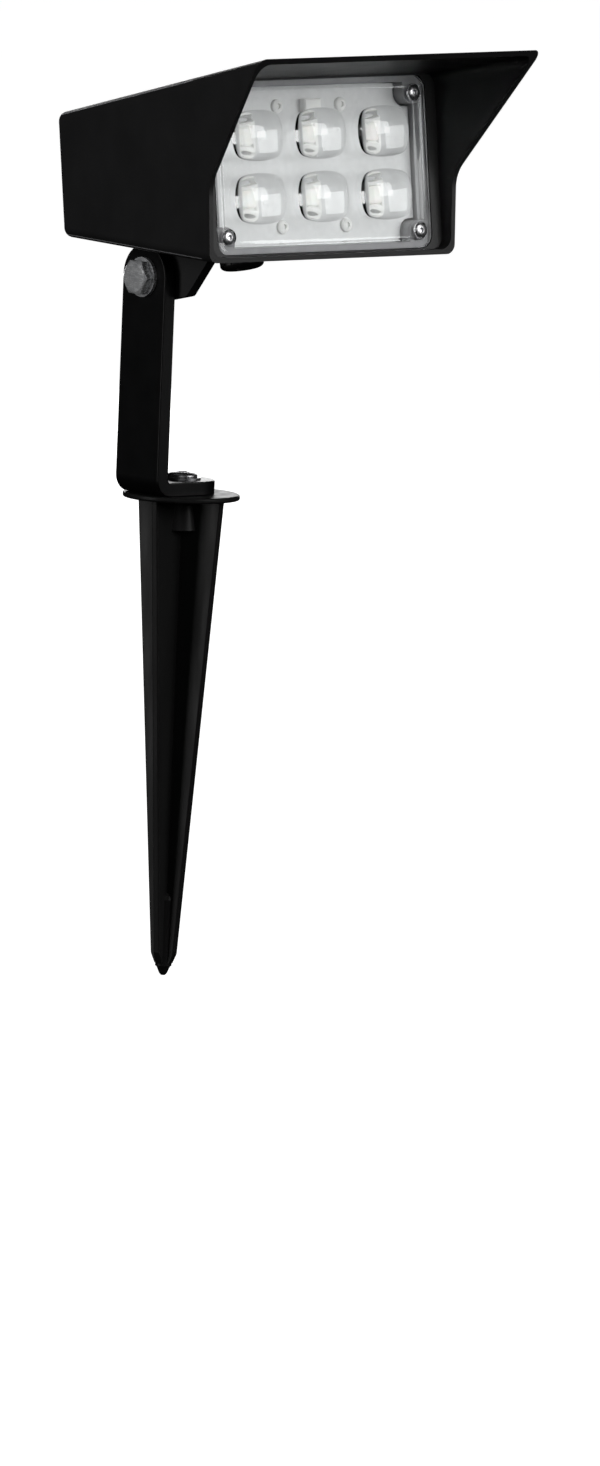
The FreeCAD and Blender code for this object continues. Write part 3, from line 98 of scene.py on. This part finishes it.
# ---- Finishes ----
class Finish:
    """A material in the making: its shader, and short ways to add nodes to it."""

    def __init__(self, name, colour, roughness, **sockets):
        self.material = bpy.data.materials.new(name)
        self.material.use_nodes = True
        self.tree = self.material.node_tree
        self.shader = self.tree.nodes["Principled BSDF"]
        self.place = self.add("ShaderNodeTexCoord").outputs["Object"]
        self.set(Base_Color=(*colour, 1.0), Roughness=roughness, **sockets)

    def add(self, kind, **settings):
        """A new node, with its properties set."""
        made = self.tree.nodes.new(kind)
        for key, value in settings.items():
            setattr(made, key, value)
        return made

    def join(self, output, socket):
        """A link between two sockets."""
        self.tree.links.new(output, socket)

    def set(self, **sockets):
        """Values of the shader's own sockets, with _ for a space."""
        for key, value in sockets.items():
            self.shader.inputs[key.replace("_", " ")].default_value = value

    def noise(self, per_mm, detail=2.0, stretch=(1, 1, 1)):
        """Noise over the piece, so many features to the millimetre, drawn out along an axis by a small stretch."""
        spread = self.add("ShaderNodeMapping")
        spread.inputs["Scale"].default_value = stretch
        self.join(self.place, spread.inputs["Vector"])
        noise = self.add("ShaderNodeTexNoise")
        noise.inputs["Scale"].default_value = per_mm / MM
        noise.inputs["Detail"].default_value = detail
        self.join(spread.outputs["Vector"], noise.inputs["Vector"])
        return noise.outputs["Fac"]

    def rings(self, axis, every, centre=(0, 0, 0)):
        """Turned rings about an axis through centre, one every so many millimetres."""
        spread = self.add("ShaderNodeMapping")
        spread.inputs["Location"].default_value = -Vector(centre) * MM
        self.join(self.place, spread.inputs["Vector"])
        wave = self.add("ShaderNodeTexWave", wave_type="RINGS", rings_direction=axis)
        wave.inputs["Scale"].default_value = math.tau / (20 * every * MM)
        wave.inputs["Distortion"].default_value = 0.4
        self.join(spread.outputs["Vector"], wave.inputs["Vector"])
        return wave.outputs["Fac"]

    def cells(self, per_mm):
        """Pebbled cells over the piece."""
        cells = self.add("ShaderNodeTexVoronoi", feature="SMOOTH_F1")
        cells.inputs["Scale"].default_value = per_mm / MM
        self.join(self.place, cells.inputs["Vector"])
        return cells.outputs["Distance"]

    def tint(self, factor, low, high, start=0.3, end=0.7):
        """Base colour from low to high as factor goes from start to end."""
        ramp = self.add("ShaderNodeValToRGB")
        ramp.color_ramp.elements[0].position = start
        ramp.color_ramp.elements[1].position = end
        ramp.color_ramp.elements[0].color = (*low, 1.0)
        ramp.color_ramp.elements[1].color = (*high, 1.0)
        self.join(factor, ramp.inputs["Fac"])
        self.join(ramp.outputs["Color"], self.shader.inputs["Base Color"])

    def gloss(self, factor, low, high):
        """Roughness between low and high by factor."""
        spread = self.add("ShaderNodeMapRange")
        spread.inputs["From Min"].default_value = 0.3
        spread.inputs["From Max"].default_value = 0.7
        spread.inputs["To Min"].default_value = low
        spread.inputs["To Max"].default_value = high
        self.join(factor, spread.inputs["Value"])
        self.join(spread.outputs["Result"], self.shader.inputs["Roughness"])

    def relief(self, height, depth, strength=1.0):
        """Bump of a depth in millimetres, on top of any bump already there."""
        bump = self.add("ShaderNodeBump")
        bump.inputs["Distance"].default_value = depth * MM
        bump.inputs["Strength"].default_value = strength
        self.join(height, bump.inputs["Height"])
        before = self.shader.inputs["Normal"].links
        if before:
            self.join(before[0].from_socket, bump.inputs["Normal"])
        self.join(bump.outputs["Normal"], self.shader.inputs["Normal"])


def chamber_bare(coat, metal):
    """Colour of the bare casting on the chamber's walls, which the powder leaves out, told by place alone."""
    into_head = HEAD.inverted()
    spot = coat.add("ShaderNodeMapping")
    spot.inputs["Location"].default_value = into_head.translation
    spot.inputs["Rotation"].default_value = into_head.to_euler()
    coat.join(coat.place, spot.inputs["Vector"])
    depth = None
    for normal, reach in CHAMBER_WALLS:
        along = coat.add("ShaderNodeVectorMath", operation="DOT_PRODUCT")
        along.inputs[1].default_value = normal
        coat.join(spot.outputs["Vector"], along.inputs[0])
        inside = coat.add("ShaderNodeMath", operation="ADD")
        inside.inputs[1].default_value = reach * MM
        coat.join(along.outputs["Value"], inside.inputs[0])
        if depth is None:
            depth = inside.outputs["Value"]
            continue
        least = coat.add("ShaderNodeMath", operation="MINIMUM")
        coat.join(depth, least.inputs[0])
        coat.join(inside.outputs["Value"], least.inputs[1])
        depth = least.outputs["Value"]
    bare = coat.add("ShaderNodeMath", operation="GREATER_THAN")
    bare.inputs[1].default_value = 0.0
    coat.join(depth, bare.inputs[0])
    mix = coat.add("ShaderNodeMix", data_type="RGBA")
    powder = coat.shader.inputs["Base Color"].links[0].from_socket
    mix.inputs["B"].default_value = (*metal, 1.0)
    coat.join(bare.outputs["Value"], mix.inputs["Factor"])
    coat.join(powder, mix.inputs["A"])
    coat.join(mix.outputs["Result"], coat.shader.inputs["Base Color"])


def powder_coat(name, low, high, roughness, sheen=0.5, chamber=None):
    """Baked powder: a fine orange peel, a little uneven in gloss."""
    coat = Finish(name, low, roughness, Specular_IOR_Level=sheen)
    coat.tint(coat.noise(0.05, 3.0), low, high)
    if chamber:
        chamber_bare(coat, chamber)
    coat.gloss(coat.noise(0.12, 4.0), roughness - 0.015, roughness + 0.02)
    coat.relief(coat.cells(1.6), 0.02, 0.35)
    coat.relief(coat.noise(4.0), 0.008, 0.4)
    return coat.material


def moulded(name, low, high, roughness, flow=(1, 1, 1), grain=2.4, sheen=0.5):
    """Moulded plastic: a fine spark-eroded grain and faint flow marks."""
    plastic = Finish(name, low, roughness, Specular_IOR_Level=sheen)
    plastic.tint(plastic.noise(0.06, 3.0, flow), low, high)
    plastic.gloss(plastic.noise(0.2, 3.0, flow), roughness - 0.06, roughness + 0.06)
    plastic.relief(plastic.noise(grain, 3.0), 0.02, 0.3)
    return plastic.material


def plated(name, low, high, roughness, axis, centre=(0, 0, 0), metallic=1.0):
    """Plated steel: turned rings under the plating, clouded and lightly scratched."""
    metal = Finish(name, low, roughness, Metallic=metallic)
    metal.tint(metal.noise(0.35, 4.0), low, high)
    metal.gloss(metal.noise(1.2, 4.0, (1, 0.2, 1)), roughness - 0.08, roughness + 0.1)
    metal.relief(metal.rings(axis, 0.35, centre), 0.002, 0.35)
    metal.relief(metal.noise(3.0, 2.0, (1, 0.1, 1)), 0.002, 0.25)
    return metal.material


def rubber(name, low, high, roughness):
    """Soft rubber or silicone: dull, with a bloom."""
    soft = Finish(name, low, roughness)
    soft.tint(soft.noise(0.15, 4.0), low, high)
    soft.relief(soft.noise(3.0, 4.0), 0.015, 0.5)
    soft.set(Sheen_Weight=0.15, Sheen_Roughness=0.6)
    return soft.material


def clear_acrylic(name):
    """Clear moulded plastic, very slightly wavy."""
    clear = Finish(name, (0.97, 0.985, 0.985), 0.03, Transmission_Weight=1.0, IOR=1.49)
    clear.relief(clear.noise(0.09, 1.0), 0.02, 0.25)
    return clear.material


def solder_mask(name, low, high, roughness):
    """Printed solder mask over copper, with the faint weave of the board."""
    mask = Finish(name, low, roughness, Coat_Weight=0.3, Coat_Roughness=0.15)
    mask.tint(mask.noise(0.4, 4.0), low, high)
    mask.relief(mask.noise(1.5, 2.0), 0.01, 0.25)
    return mask.material


def milled_aluminium(name):
    """Milled plate with fine straight tool marks."""
    bare = Finish(name, (0.72, 0.73, 0.75), 0.38, Metallic=1.0)
    marks = bare.noise(3.0, 2.0, (0.04, 1, 1))
    bare.tint(bare.noise(0.1, 3.0), (0.66, 0.67, 0.69), (0.78, 0.79, 0.8))
    bare.gloss(marks, 0.3, 0.46)
    bare.relief(marks, 0.01, 0.4)
    return bare.material


def wound(name, low, high, roughness, every, direction):
    """Wire laid turn by turn, or tape wound round."""
    wire = Finish(name, low, roughness)
    wave = wire.add("ShaderNodeTexWave", wave_type="BANDS", bands_direction=direction)
    wave.inputs["Scale"].default_value = math.tau / (20 * every * MM)
    wire.join(wire.place, wave.inputs["Vector"])
    wire.tint(wave.outputs["Fac"], low, high, 0.1, 0.9)
    wire.relief(wave.outputs["Fac"], 0.1, 0.8)
    return wire.material


def white_phosphor(name):
    """Cast phosphor in its package: nearly white, faintly clouded."""
    glow = Finish(name, (0.94, 0.93, 0.9), 0.35, Subsurface_Weight=0.1, Subsurface_Scale=0.001)
    glow.tint(glow.noise(1.5, 3.0), (0.92, 0.91, 0.86), (0.95, 0.945, 0.92))
    return glow.material


BLACK = (0.013, 0.013, 0.0135)
BLACK_WORN = (0.017, 0.017, 0.0175)
FINISHES = {
    "housing_paint": powder_coat("housing_powder_coat", BLACK, BLACK_WORN, 0.42, 0.32, chamber=(0.32, 0.32, 0.33)),
    # Black powder coat with painted shade: its colour is set far darker than the head's coat and than real paint, so
    # the strap comes out shaded.
    "bracket_paint": powder_coat("bracket_powder_coat_painted_shade", (0.002, 0.002, 0.0022), (0.003, 0.003, 0.0033), 0.34, 0.2),
    "spike_plastic": moulded("spike_black_plastic", (0.008, 0.008, 0.008), (0.012, 0.012, 0.012), 0.4, (1, 1, 0.15),
                             sheen=0.12),
    "brass": plated("turned_brass", (0.68, 0.48, 0.18), (0.78, 0.58, 0.27), 0.3, "Z"),
    "black_zinc": plated("black_zinc_plate", (0.26, 0.26, 0.27), (0.34, 0.34, 0.35), 0.3, "Z", metallic=0.9),
    "zinc": plated("bright_zinc_plate", (0.6, 0.61, 0.63), (0.86, 0.87, 0.88), 0.24, "X", (0, 0, PIVOT_Z), 0.5),
    "steel_screw": plated("screw_zinc_plate", (0.55, 0.55, 0.56), (0.66, 0.66, 0.67), 0.3, "Y"),
    "nylon_black": moulded("washer_nylon", (0.012, 0.012, 0.012), (0.02, 0.02, 0.02), 0.5),
    "gland_nylon": moulded("gland_nylon", (0.008, 0.008, 0.008), (0.013, 0.013, 0.013), 0.48),
    "silicone_grey": rubber("gasket_silicone", (0.26, 0.26, 0.27), (0.32, 0.32, 0.33), 0.6),
    "rubber_black": rubber("seal_rubber", (0.012, 0.012, 0.012), (0.022, 0.022, 0.022), 0.65),
    "thermal_pad": rubber("thermal_pad_silicone", (0.36, 0.42, 0.52), (0.42, 0.48, 0.58), 0.75),
    "clear_lens": clear_acrylic("lens_acrylic"),
    "bare_aluminium": milled_aluminium("milled_aluminium"),
    "board_white": solder_mask("white_solder_mask", (0.66, 0.665, 0.665), (0.72, 0.725, 0.725), 0.35),
    "board_green": solder_mask("green_solder_mask", (0.02, 0.11, 0.045), (0.03, 0.15, 0.06), 0.3),
    "led_phosphor": white_phosphor("led_phosphor"),
    "connector_white": moulded("connector_nylon", (0.87, 0.87, 0.85), (0.92, 0.92, 0.9), 0.4, grain=3.0),
    "lead_sheath": moulded("lead_sheath", (0.4, 0.02, 0.015), (0.48, 0.03, 0.02), 0.35, grain=4.0),
    "ferrite_winding": wound("taped_winding", (0.03, 0.028, 0.026), (0.06, 0.05, 0.03), 0.5, 2.0, "Z"),
    "capacitor_sleeve": moulded("capacitor_sleeve", (0.008, 0.012, 0.05), (0.012, 0.018, 0.07), 0.25, grain=4.0),
    "copper_wire": wound("enamelled_copper", (0.32, 0.1, 0.03), (0.62, 0.26, 0.1), 0.3, 0.7, "X"),
    "terminal_plastic": moulded("terminal_plastic", (0.02, 0.13, 0.04), (0.03, 0.17, 0.06), 0.4),
}
for name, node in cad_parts.items():
    node.data.materials[0] = FINISHES[node.data.materials[0].name.split(".")[0]]


# ---- Modelling ----
def select_only(piece):
    """Nothing but this piece is selected."""
    if bpy.context.object and bpy.context.object.mode != "OBJECT":
        bpy.ops.object.mode_set(mode="OBJECT")
    bpy.ops.object.select_all(action="DESELECT")
    piece.select_set(True)
    bpy.context.view_layer.objects.active = piece


def start(primitive, **sizes):
    """A primitive at the origin, ready to be shaped."""
    bpy.ops.object.select_all(action="DESELECT")
    primitive(location=(0, 0, 0), **sizes)
    return bpy.context.object


def pick_edges(mesh, wanted):
    """Only the edges that wanted accepts are selected."""
    bpy.ops.mesh.select_all(action="DESELECT")
    bpy.ops.mesh.select_mode(type="EDGE")
    for edge in mesh.edges:
        edge.select_set(wanted(edge))


def pick_faces(mesh, wanted):
    """Only the faces that wanted accepts are selected."""
    bpy.ops.mesh.select_all(action="DESELECT")
    bpy.ops.mesh.select_mode(type="FACE")
    for face in mesh.faces:
        face.select_set(wanted(face))


def apply_modifier(piece, kind, **settings):
    """A modifier with these settings, applied."""
    modifier = piece.modifiers.new(kind.lower(), kind)
    for key, value in settings.items():
        setattr(modifier, key, value)
    select_only(piece)
    bpy.ops.object.modifier_apply(modifier=modifier.name)


def combine(piece, tool, operation):
    """Piece cut by, or joined with, a tool that is then gone."""
    apply_modifier(piece, "BOOLEAN", operation=operation, solver="EXACT", object=tool)
    bpy.data.objects.remove(tool)


def turned(profile, steps):
    """Solid of revolution about Z from (radius, height) points, its first and last on the axis."""
    piece = start(bpy.ops.mesh.primitive_plane_add, size=MM)
    bpy.ops.object.mode_set(mode="EDIT")
    bpy.ops.mesh.select_mode(type="VERT")
    bpy.ops.mesh.select_all(action="SELECT")
    bpy.ops.mesh.merge(type="CENTER")
    here = Vector((profile[0][0], 0, profile[0][1])) * MM
    bpy.ops.transform.translate(value=here)
    for radius, height in profile[1:]:
        there = Vector((radius, 0, height)) * MM
        bpy.ops.mesh.extrude_region_move(TRANSFORM_OT_translate={"value": there - here})
        here = there
    bpy.ops.mesh.select_all(action="SELECT")
    bpy.ops.mesh.spin(steps=steps, angle=math.tau, center=(0, 0, 0), axis=(0, 0, 1))
    bpy.ops.mesh.select_all(action="SELECT")
    bpy.ops.mesh.remove_doubles(threshold=0.001 * MM)
    bpy.ops.mesh.normals_make_consistent(inside=False)
    bpy.ops.object.mode_set(mode="OBJECT")
    return piece


def arc(centre, reach, first, last, steps):
    """Points of an arc in a profile, with its own reach along the radius and the height, angles in degrees."""
    turns = [math.radians(first + (last - first) * k / steps) for k in range(steps + 1)]
    return [(centre[0] + reach[0] * math.cos(turn), centre[1] + reach[1] * math.sin(turn)) for turn in turns]


def prism(sides, radius, low, high):
    """Upright prism of so many sides between two heights."""
    made = start(bpy.ops.mesh.primitive_cylinder_add, vertices=sides, radius=radius * MM, depth=(high - low) * MM)
    made.location.z = (low + high) / 2 * MM
    bpy.ops.object.transform_apply(location=True, rotation=True, scale=True)
    return made


def settle(piece, name, place, body, finish, stands_for=()):
    """Name, finish, place in the mesh, and the body that it moves with."""
    select_only(piece)
    piece.matrix_world = place
    bpy.ops.object.transform_apply(location=True, rotation=True, scale=True)
    bpy.ops.object.shade_smooth_by_angle(angle=math.radians(32))
    piece.name = name
    piece.data.name = name
    piece.data.materials.clear()
    piece.data.materials.append(FINISHES[finish])
    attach(piece, body)
    if stands_for:
        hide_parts(*stands_for)
    return piece


def joined(pieces):
    """Several pieces as one, each kept where it stands."""
    select_only(pieces[0])
    for other in pieces[1:]:
        other.select_set(True)
    bpy.ops.object.transform_apply(location=True, rotation=True, scale=True)
    bpy.ops.object.join()
    return pieces[0]


def copies(piece, places):
    """The piece once at each place, each with its own mesh, joined. The pattern itself takes the first place."""
    made = [piece]
    for place in places[1:]:
        twin = piece.copy()
        twin.data = piece.data.copy()
        bpy.context.scene.collection.objects.link(twin)
        twin.matrix_world = place
        made.append(twin)
    piece.matrix_world = places[0]
    return joined(made)


# ---- Tilt bolt ----
def threaded(piece, radius, depth, pitch, low, high):
    """Cut a helical thread into the round side of a piece, by drawing its rings in and out."""
    bpy.ops.object.mode_set(mode="EDIT")
    mesh = bmesh.from_edit_mesh(piece.data)
    for vertex in mesh.verts:
        reach = math.hypot(vertex.co.x, vertex.co.y)
        if abs(reach - radius * MM) < 0.02 * MM and low * MM < vertex.co.z < high * MM:
            turn = math.atan2(vertex.co.y, vertex.co.x) / math.tau
            phase = (vertex.co.z / (pitch * MM) - turn) % 1.0
            drawn = (radius - depth * (1 - abs(2 * phase - 1))) * MM
            vertex.co.x *= drawn / reach
            vertex.co.y *= drawn / reach
    bmesh.update_edit_mesh(piece.data)
    bpy.ops.object.mode_set(mode="OBJECT")


def tilt_bolt():
    """Hexagon bolt with turned-off corners, a washer face and a rolled thread."""
    flats = 13.0
    height = 4.0
    length = 22.0
    thread_from = -length + 9.0
    head = prism(6, flats / math.sqrt(3), 0, height)
    dome = turned([(0, -1), (8.2, -1), (8.2, height - 1.4), (6.6, height - 0.45), (6.0, height), (0, height)], 64)
    combine(head, dome, "INTERSECT")
    apply_modifier(head, "BEVEL", width=0.22 * MM, segments=3, limit_method="ANGLE", angle_limit=math.radians(28))
    rings = [(4.0, -length + 0.8 + k * 0.125) for k in range(int((thread_from + length) / 0.125))]
    shank = turned([(0, -length), (3.3, -length)] + rings + [(4.0, 0.0), (4.0, 0.5), (0, 0.5)], 48)
    threaded(shank, 4.0, 0.55, 1.25, -length + 0.9, thread_from)
    bolt = joined([head, shank])
    place = Matrix.Translation(Vector((BOLT_SEAT_X, 0, PIVOT_Z)) * MM) @ FACE_LEFT
    return settle(bolt, "tilt_bolt", place, "arm", "zinc", ["pivot_bolt"])


# ---- Screws ----
def dished_screw(head_radius, head_height, shank_radius, shank_length, drive_flats, drive_depth):
    """Pan-head screw, seat at height 0, with a hexagonal socket and softened edges."""
    rim = head_height * 0.35
    crown = arc((0, rim), (head_radius, head_height - rim), 0, 90, 10)
    foot = [(0, -shank_length), (shank_radius - 0.3, -shank_length), (shank_radius, -shank_length + 0.3),
            (shank_radius, 0)]
    screw = turned(foot + [(head_radius - 0.15, 0), (head_radius, 0.15)] + crown[:-1] + [(0, head_height)], 48)
    combine(screw, prism(6, drive_flats / math.sqrt(3), head_height - drive_depth, head_height + 1), "DIFFERENCE")
    apply_modifier(screw, "BEVEL", width=0.08 * MM, segments=2, limit_method="ANGLE", angle_limit=math.radians(50))
    return screw


def foot_screw():
    """The screw that clamps the strap's foot to the spike, which turns under it."""
    screw = dished_screw(6.2, 2.2, 3.0, 16.0, 4.0, 1.4)
    place = Matrix.Translation((0, 0, FOOT_TOP_Z * MM))
    return settle(screw, "foot_screw_socket_head", place, "spike", "black_zinc", ["foot_screw"])


def lens_corner_screws():
    """Four small screws at the corners of the lens plate."""
    screw = dished_screw(3.1, 1.9, 1.5, 12.0, 2.0, 1.1)
    screws = copies(screw, [head_place(x, LENS_SCREW_SEAT_F, h) for x, h in screw_places()])
    return settle(screws, "lens_corner_screws", Matrix.Identity(4), "head", "steel_screw", ["lens_screws"])


# ---- Lens plate ----
def lens_pad():
    """One cushion-shaped lens: the top of a rounded block swollen smooth."""
    dome = start(bpy.ops.mesh.primitive_cube_add, size=2 * MM)
    bpy.ops.object.mode_set(mode="EDIT")
    bpy.ops.mesh.bevel(offset=0.5 * MM, segments=1, affect="EDGES")
    bpy.ops.object.mode_set(mode="OBJECT")
    apply_modifier(dome, "SUBSURF", levels=4, render_levels=4)
    wide = LENS_SPREAD * LENS_SIZE[0] * MM / dome.dimensions.x
    high = LENS_SPREAD * LENS_SIZE[1] * MM / dome.dimensions.y
    deep = 2 * (LENS_RISE + LENS_SUNK) * MM / dome.dimensions.z
    dome.scale = (wide, high, deep)
    dome.location.z = -LENS_SUNK * MM
    bpy.ops.object.transform_apply(location=True, rotation=True, scale=True)
    bpy.ops.object.mode_set(mode="EDIT")
    bpy.ops.mesh.select_all(action="SELECT")
    bpy.ops.mesh.bisect(plane_co=(0, 0, -1.0 * MM), plane_no=(0, 0, 1), clear_inner=True, use_fill=True)
    bpy.ops.object.mode_set(mode="OBJECT")
    return dome


def lens_cover():
    """Clear moulded plate: a stepped rim, six cushion lenses and sunk corner holes."""
    thick = PLATE_FRONT_F - PLATE_BACK_F
    plate = start(bpy.ops.mesh.primitive_cube_add, size=1)
    plate.scale = Vector((2 * PLATE_HALF_WIDTH, 2 * PLATE_HALF_HEIGHT, thick)) * MM
    plate.location.z = -thick / 2 * MM
    bpy.ops.object.transform_apply(location=True, rotation=True, scale=True)
    bpy.ops.object.mode_set(mode="EDIT")
    mesh = bmesh.from_edit_mesh(plate.data)
    pick_edges(mesh, lambda edge: abs(edge.verts[0].co.z - edge.verts[1].co.z) > MM)
    bpy.ops.mesh.bevel(offset=PLATE_CORNER * MM, segments=10, affect="EDGES")
    mesh = bmesh.from_edit_mesh(plate.data)
    pick_faces(mesh, lambda face: face.normal.z > 0.9)
    for inward in RIM_INSETS:
        bpy.ops.mesh.inset(thickness=inward * MM)
    bpy.ops.transform.translate(value=(0, 0, RIM_STEP * MM))
    bpy.ops.mesh.select_all(action="DESELECT")
    bpy.ops.object.mode_set(mode="OBJECT")
    apply_modifier(plate, "BEVEL", width=0.35 * MM, segments=3, limit_method="ANGLE", angle_limit=math.radians(30))
    offsets = [Vector((x, h - PLATE_CENTRE_H, 0)) * MM for x, h in lens_places()]
    pads = copies(lens_pad(), [Matrix.Translation(offset) for offset in offsets])
    combine(plate, pads, "UNION")
    sink = turned([(0, -thick - 1), (1.75, -thick - 1), (1.75, -1.0), (3.35, -1.0), (3.35, 1.0), (0, 1.0)], 40)
    corners = [Vector((x, h - PLATE_CENTRE_H, 0)) * MM for x, h in screw_places()]
    combine(plate, copies(sink, [Matrix.Translation(corner) for corner in corners]), "DIFFERENCE")
    place = head_place(0, PLATE_FRONT_F, PLATE_CENTRE_H)
    return settle(plate, "lens_cover", place, "head", "clear_lens", ["lens_plate"])


# ---- Emitters ----
def emitter_packages():
    """Six packages: a white frame with a sunk window, filled with pale phosphor."""
    body = start(bpy.ops.mesh.primitive_cube_add, size=1)
    body.scale = (7.8 * MM, 7.0 * MM, 1.2 * MM)
    body.location.z = 0.6 * MM
    bpy.ops.object.transform_apply(location=True, rotation=True, scale=True)
    bpy.ops.object.mode_set(mode="EDIT")
    pick_faces(bmesh.from_edit_mesh(body.data), lambda face: face.normal.z > 0.9)
    bpy.ops.mesh.inset(thickness=0.7 * MM)
    bpy.ops.mesh.inset(thickness=0.3 * MM)
    bpy.ops.transform.translate(value=(0, 0, -0.35 * MM))
    bpy.ops.object.mode_set(mode="OBJECT")
    apply_modifier(body, "BEVEL", width=0.12 * MM, segments=2, limit_method="ANGLE", angle_limit=math.radians(30))
    frames = copies(body, [head_place(x, BOARD_FRONT_F, h) for x, h in lens_places()])
    settle(frames, "emitter_frames", Matrix.Identity(4), "head", "connector_white", ["led_emitters"])
    cap = start(bpy.ops.mesh.primitive_cube_add, size=1)
    cap.scale = Vector((5.6, 4.8, 0.8)) * MM
    cap.location.z = 1.1 * MM
    bpy.ops.object.transform_apply(location=True, rotation=True, scale=True)
    bpy.ops.object.mode_set(mode="EDIT")
    pick_edges(bmesh.from_edit_mesh(cap.data), lambda edge: abs(edge.verts[0].co.z - edge.verts[1].co.z) > 0.5 * MM)
    bpy.ops.mesh.bevel(offset=0.9 * MM, segments=6, affect="EDGES")
    pick_faces(bmesh.from_edit_mesh(cap.data), lambda face: face.normal.z > 0.9)
    for inward, up in ((0.15, 0.09), (0.25, 0.06), (0.3, 0.03)):
        bpy.ops.mesh.inset(thickness=inward * MM)
        bpy.ops.transform.translate(value=(0, 0, up * MM))
    bpy.ops.object.mode_set(mode="OBJECT")
    caps = copies(cap, [head_place(x, BOARD_FRONT_F, h) for x, h in lens_places()])
    return settle(caps, "emitter_windows", Matrix.Identity(4), "head", "led_phosphor")


# ---- Gland cap ----
def gland_cap():
    """Domed cap nut with a ribbed grip and an open mouth."""
    crown = arc((5.6, 3.6), (3.2, 2.0), 0, 90, 8)
    profile = [(6.0, 0), (8.3, 0), (8.8, 0.4)] + crown + [(4.4, 5.6), (3.8, 5.1), (3.8, 4.0), (6.0, 4.0), (6.0, 0)]
    cap = turned(profile, 96)
    groove = start(bpy.ops.mesh.primitive_uv_sphere_add, segments=16, ring_count=10, radius=MM)
    groove.scale = (0.7, 0.62, 3.0)
    bpy.ops.object.transform_apply(location=True, rotation=True, scale=True)
    turns = [k * math.tau / 16 for k in range(16)]
    grooves = copies(groove, [Matrix.Translation(Vector((9.0 * math.cos(turn), 9.0 * math.sin(turn), 2.2)) * MM)
                              @ Matrix.Rotation(turn, 4, "Z") for turn in turns])
    combine(cap, grooves, "DIFFERENCE")
    lean = math.atan(FLOOR_SLOPE)
    out = Matrix.Rotation(math.pi - lean, 4, "X")
    seat = Matrix.Translation(Vector((0, -GLAND_F, GLAND_FLOOR_H)) * MM)
    place = HEAD @ seat @ out @ Matrix.Translation((0, 0, GLAND_CAP_BASE * MM))
    return settle(cap, "gland_grip_cap", place, "head", "gland_nylon", ["gland_cap"])


tilt_bolt()
foot_screw()
lens_corner_screws()
emitter_packages()
cover = lens_cover()
cover.visible_shadow = False  # light passes the clear plate to the board without a caustic
gland_cap()


# ---- Floor, light and camera ----
BACKGROUND = 1.0              # brightness of the floor's own white and of the surround
FLOOR_Z = -0.1925             # just under the spike's tip, in metres
# Lamps: name, place, width, height and radiance. All look at the middle of the object.
LAMPS = [
    ("key_front_right", (0.68, -1.67, 0.72), 1.0, 1.0, 5.0),
    ("fill_right", (1.3, -1.5, 0.5), 1.0, 1.0, 0.8),
    ("fill_front_left", (-1.35, -1.2, 0.75), 1.5, 1.5, 0.6),
    ("left_strip", (-1.7, 0.5, 0.2), 0.5, 1.4, 6.0),
    ("low_back_right", (1.5, 1.8, 0.25), 1.4, 0.8, 4.5),
    ("top", (0, 0, 1.8), 1.6, 1.6, 0.8),
]
LAMP_AIM = (0, 0, 0.05)


def pale_floor():
    """Plain pale floor under the spike's tip."""
    floor = start(bpy.ops.mesh.primitive_plane_add, size=60)
    floor.location.z = FLOOR_Z
    floor.name = "studio_floor"
    paper = Finish("pale_floor", (0.3, 0.3, 0.3), 0.9, Emission_Color=(1, 1, 1, 1), Emission_Strength=BACKGROUND)
    floor.data.materials.append(paper.material)
    floor.visible_glossy = False
    floor.visible_diffuse = False
    floor.visible_transmission = False


def softbox(name, place, aim, width, height, radiance):
    """Soft rectangular light at a place, turned to its aim."""
    lamp = bpy.data.lights.new(name, "AREA")
    lamp.shape = "RECTANGLE"
    lamp.size = width
    lamp.size_y = height
    lamp.energy = radiance * math.pi * width * height
    box = bpy.data.objects.new(name, lamp)
    bpy.context.scene.collection.objects.link(box)
    box.visible_camera = False
    box.location = place
    box.rotation_euler = (Vector(place) - Vector(aim)).to_track_quat("Z", "Y").to_euler()
    return box


def white_surround():
    """White behind everything, seen by the camera alone."""
    world = bpy.data.worlds.new("white_surround")
    bpy.context.scene.world = world
    world.use_nodes = True
    world.node_tree.nodes["Background"].inputs["Color"].default_value = (1, 1, 1, 1)
    world.node_tree.nodes["Background"].inputs["Strength"].default_value = BACKGROUND
    world.cycles_visibility.diffuse = False
    world.cycles_visibility.glossy = False
    world.cycles_visibility.transmission = False


def photo_camera():
    """Camera at the photograph's angle: 40 degrees to the left, a little above, slightly rolled, from far off."""
    turn = math.radians(40.207)
    rise = math.radians(6.421)
    roll = math.radians(2.234)
    away = 10.5
    frame_height = 1466 / 2.5017 * MM
    back = Vector((-math.sin(turn) * math.cos(rise), -math.cos(turn) * math.cos(rise), math.sin(rise)))
    right = Vector((math.cos(turn), -math.sin(turn), 0))
    up = back.cross(right)
    tilted_right = right * math.cos(roll) + up * math.sin(roll)
    tilted_up = up * math.cos(roll) - right * math.sin(roll)
    centre = tilted_right * 47.487 * MM - tilted_up * 93.985 * MM
    data = bpy.data.cameras.new("photo_camera")
    data.sensor_width = 36
    data.lens = data.sensor_width * away / frame_height
    data.clip_end = 200
    camera = bpy.data.objects.new("photo_camera", data)
    bpy.context.scene.collection.objects.link(camera)
    axes = Matrix((tilted_right, tilted_up, back)).transposed().to_4x4()
    camera.matrix_world = Matrix.Translation(centre + back * away) @ axes
    bpy.context.scene.camera = camera


pale_floor()
white_surround()
for name, place, width, height, radiance in LAMPS:
    softbox(name, place, LAMP_AIM, width, height, radiance)
photo_camera()
bpy.context.scene.view_settings.view_transform = "Standard"
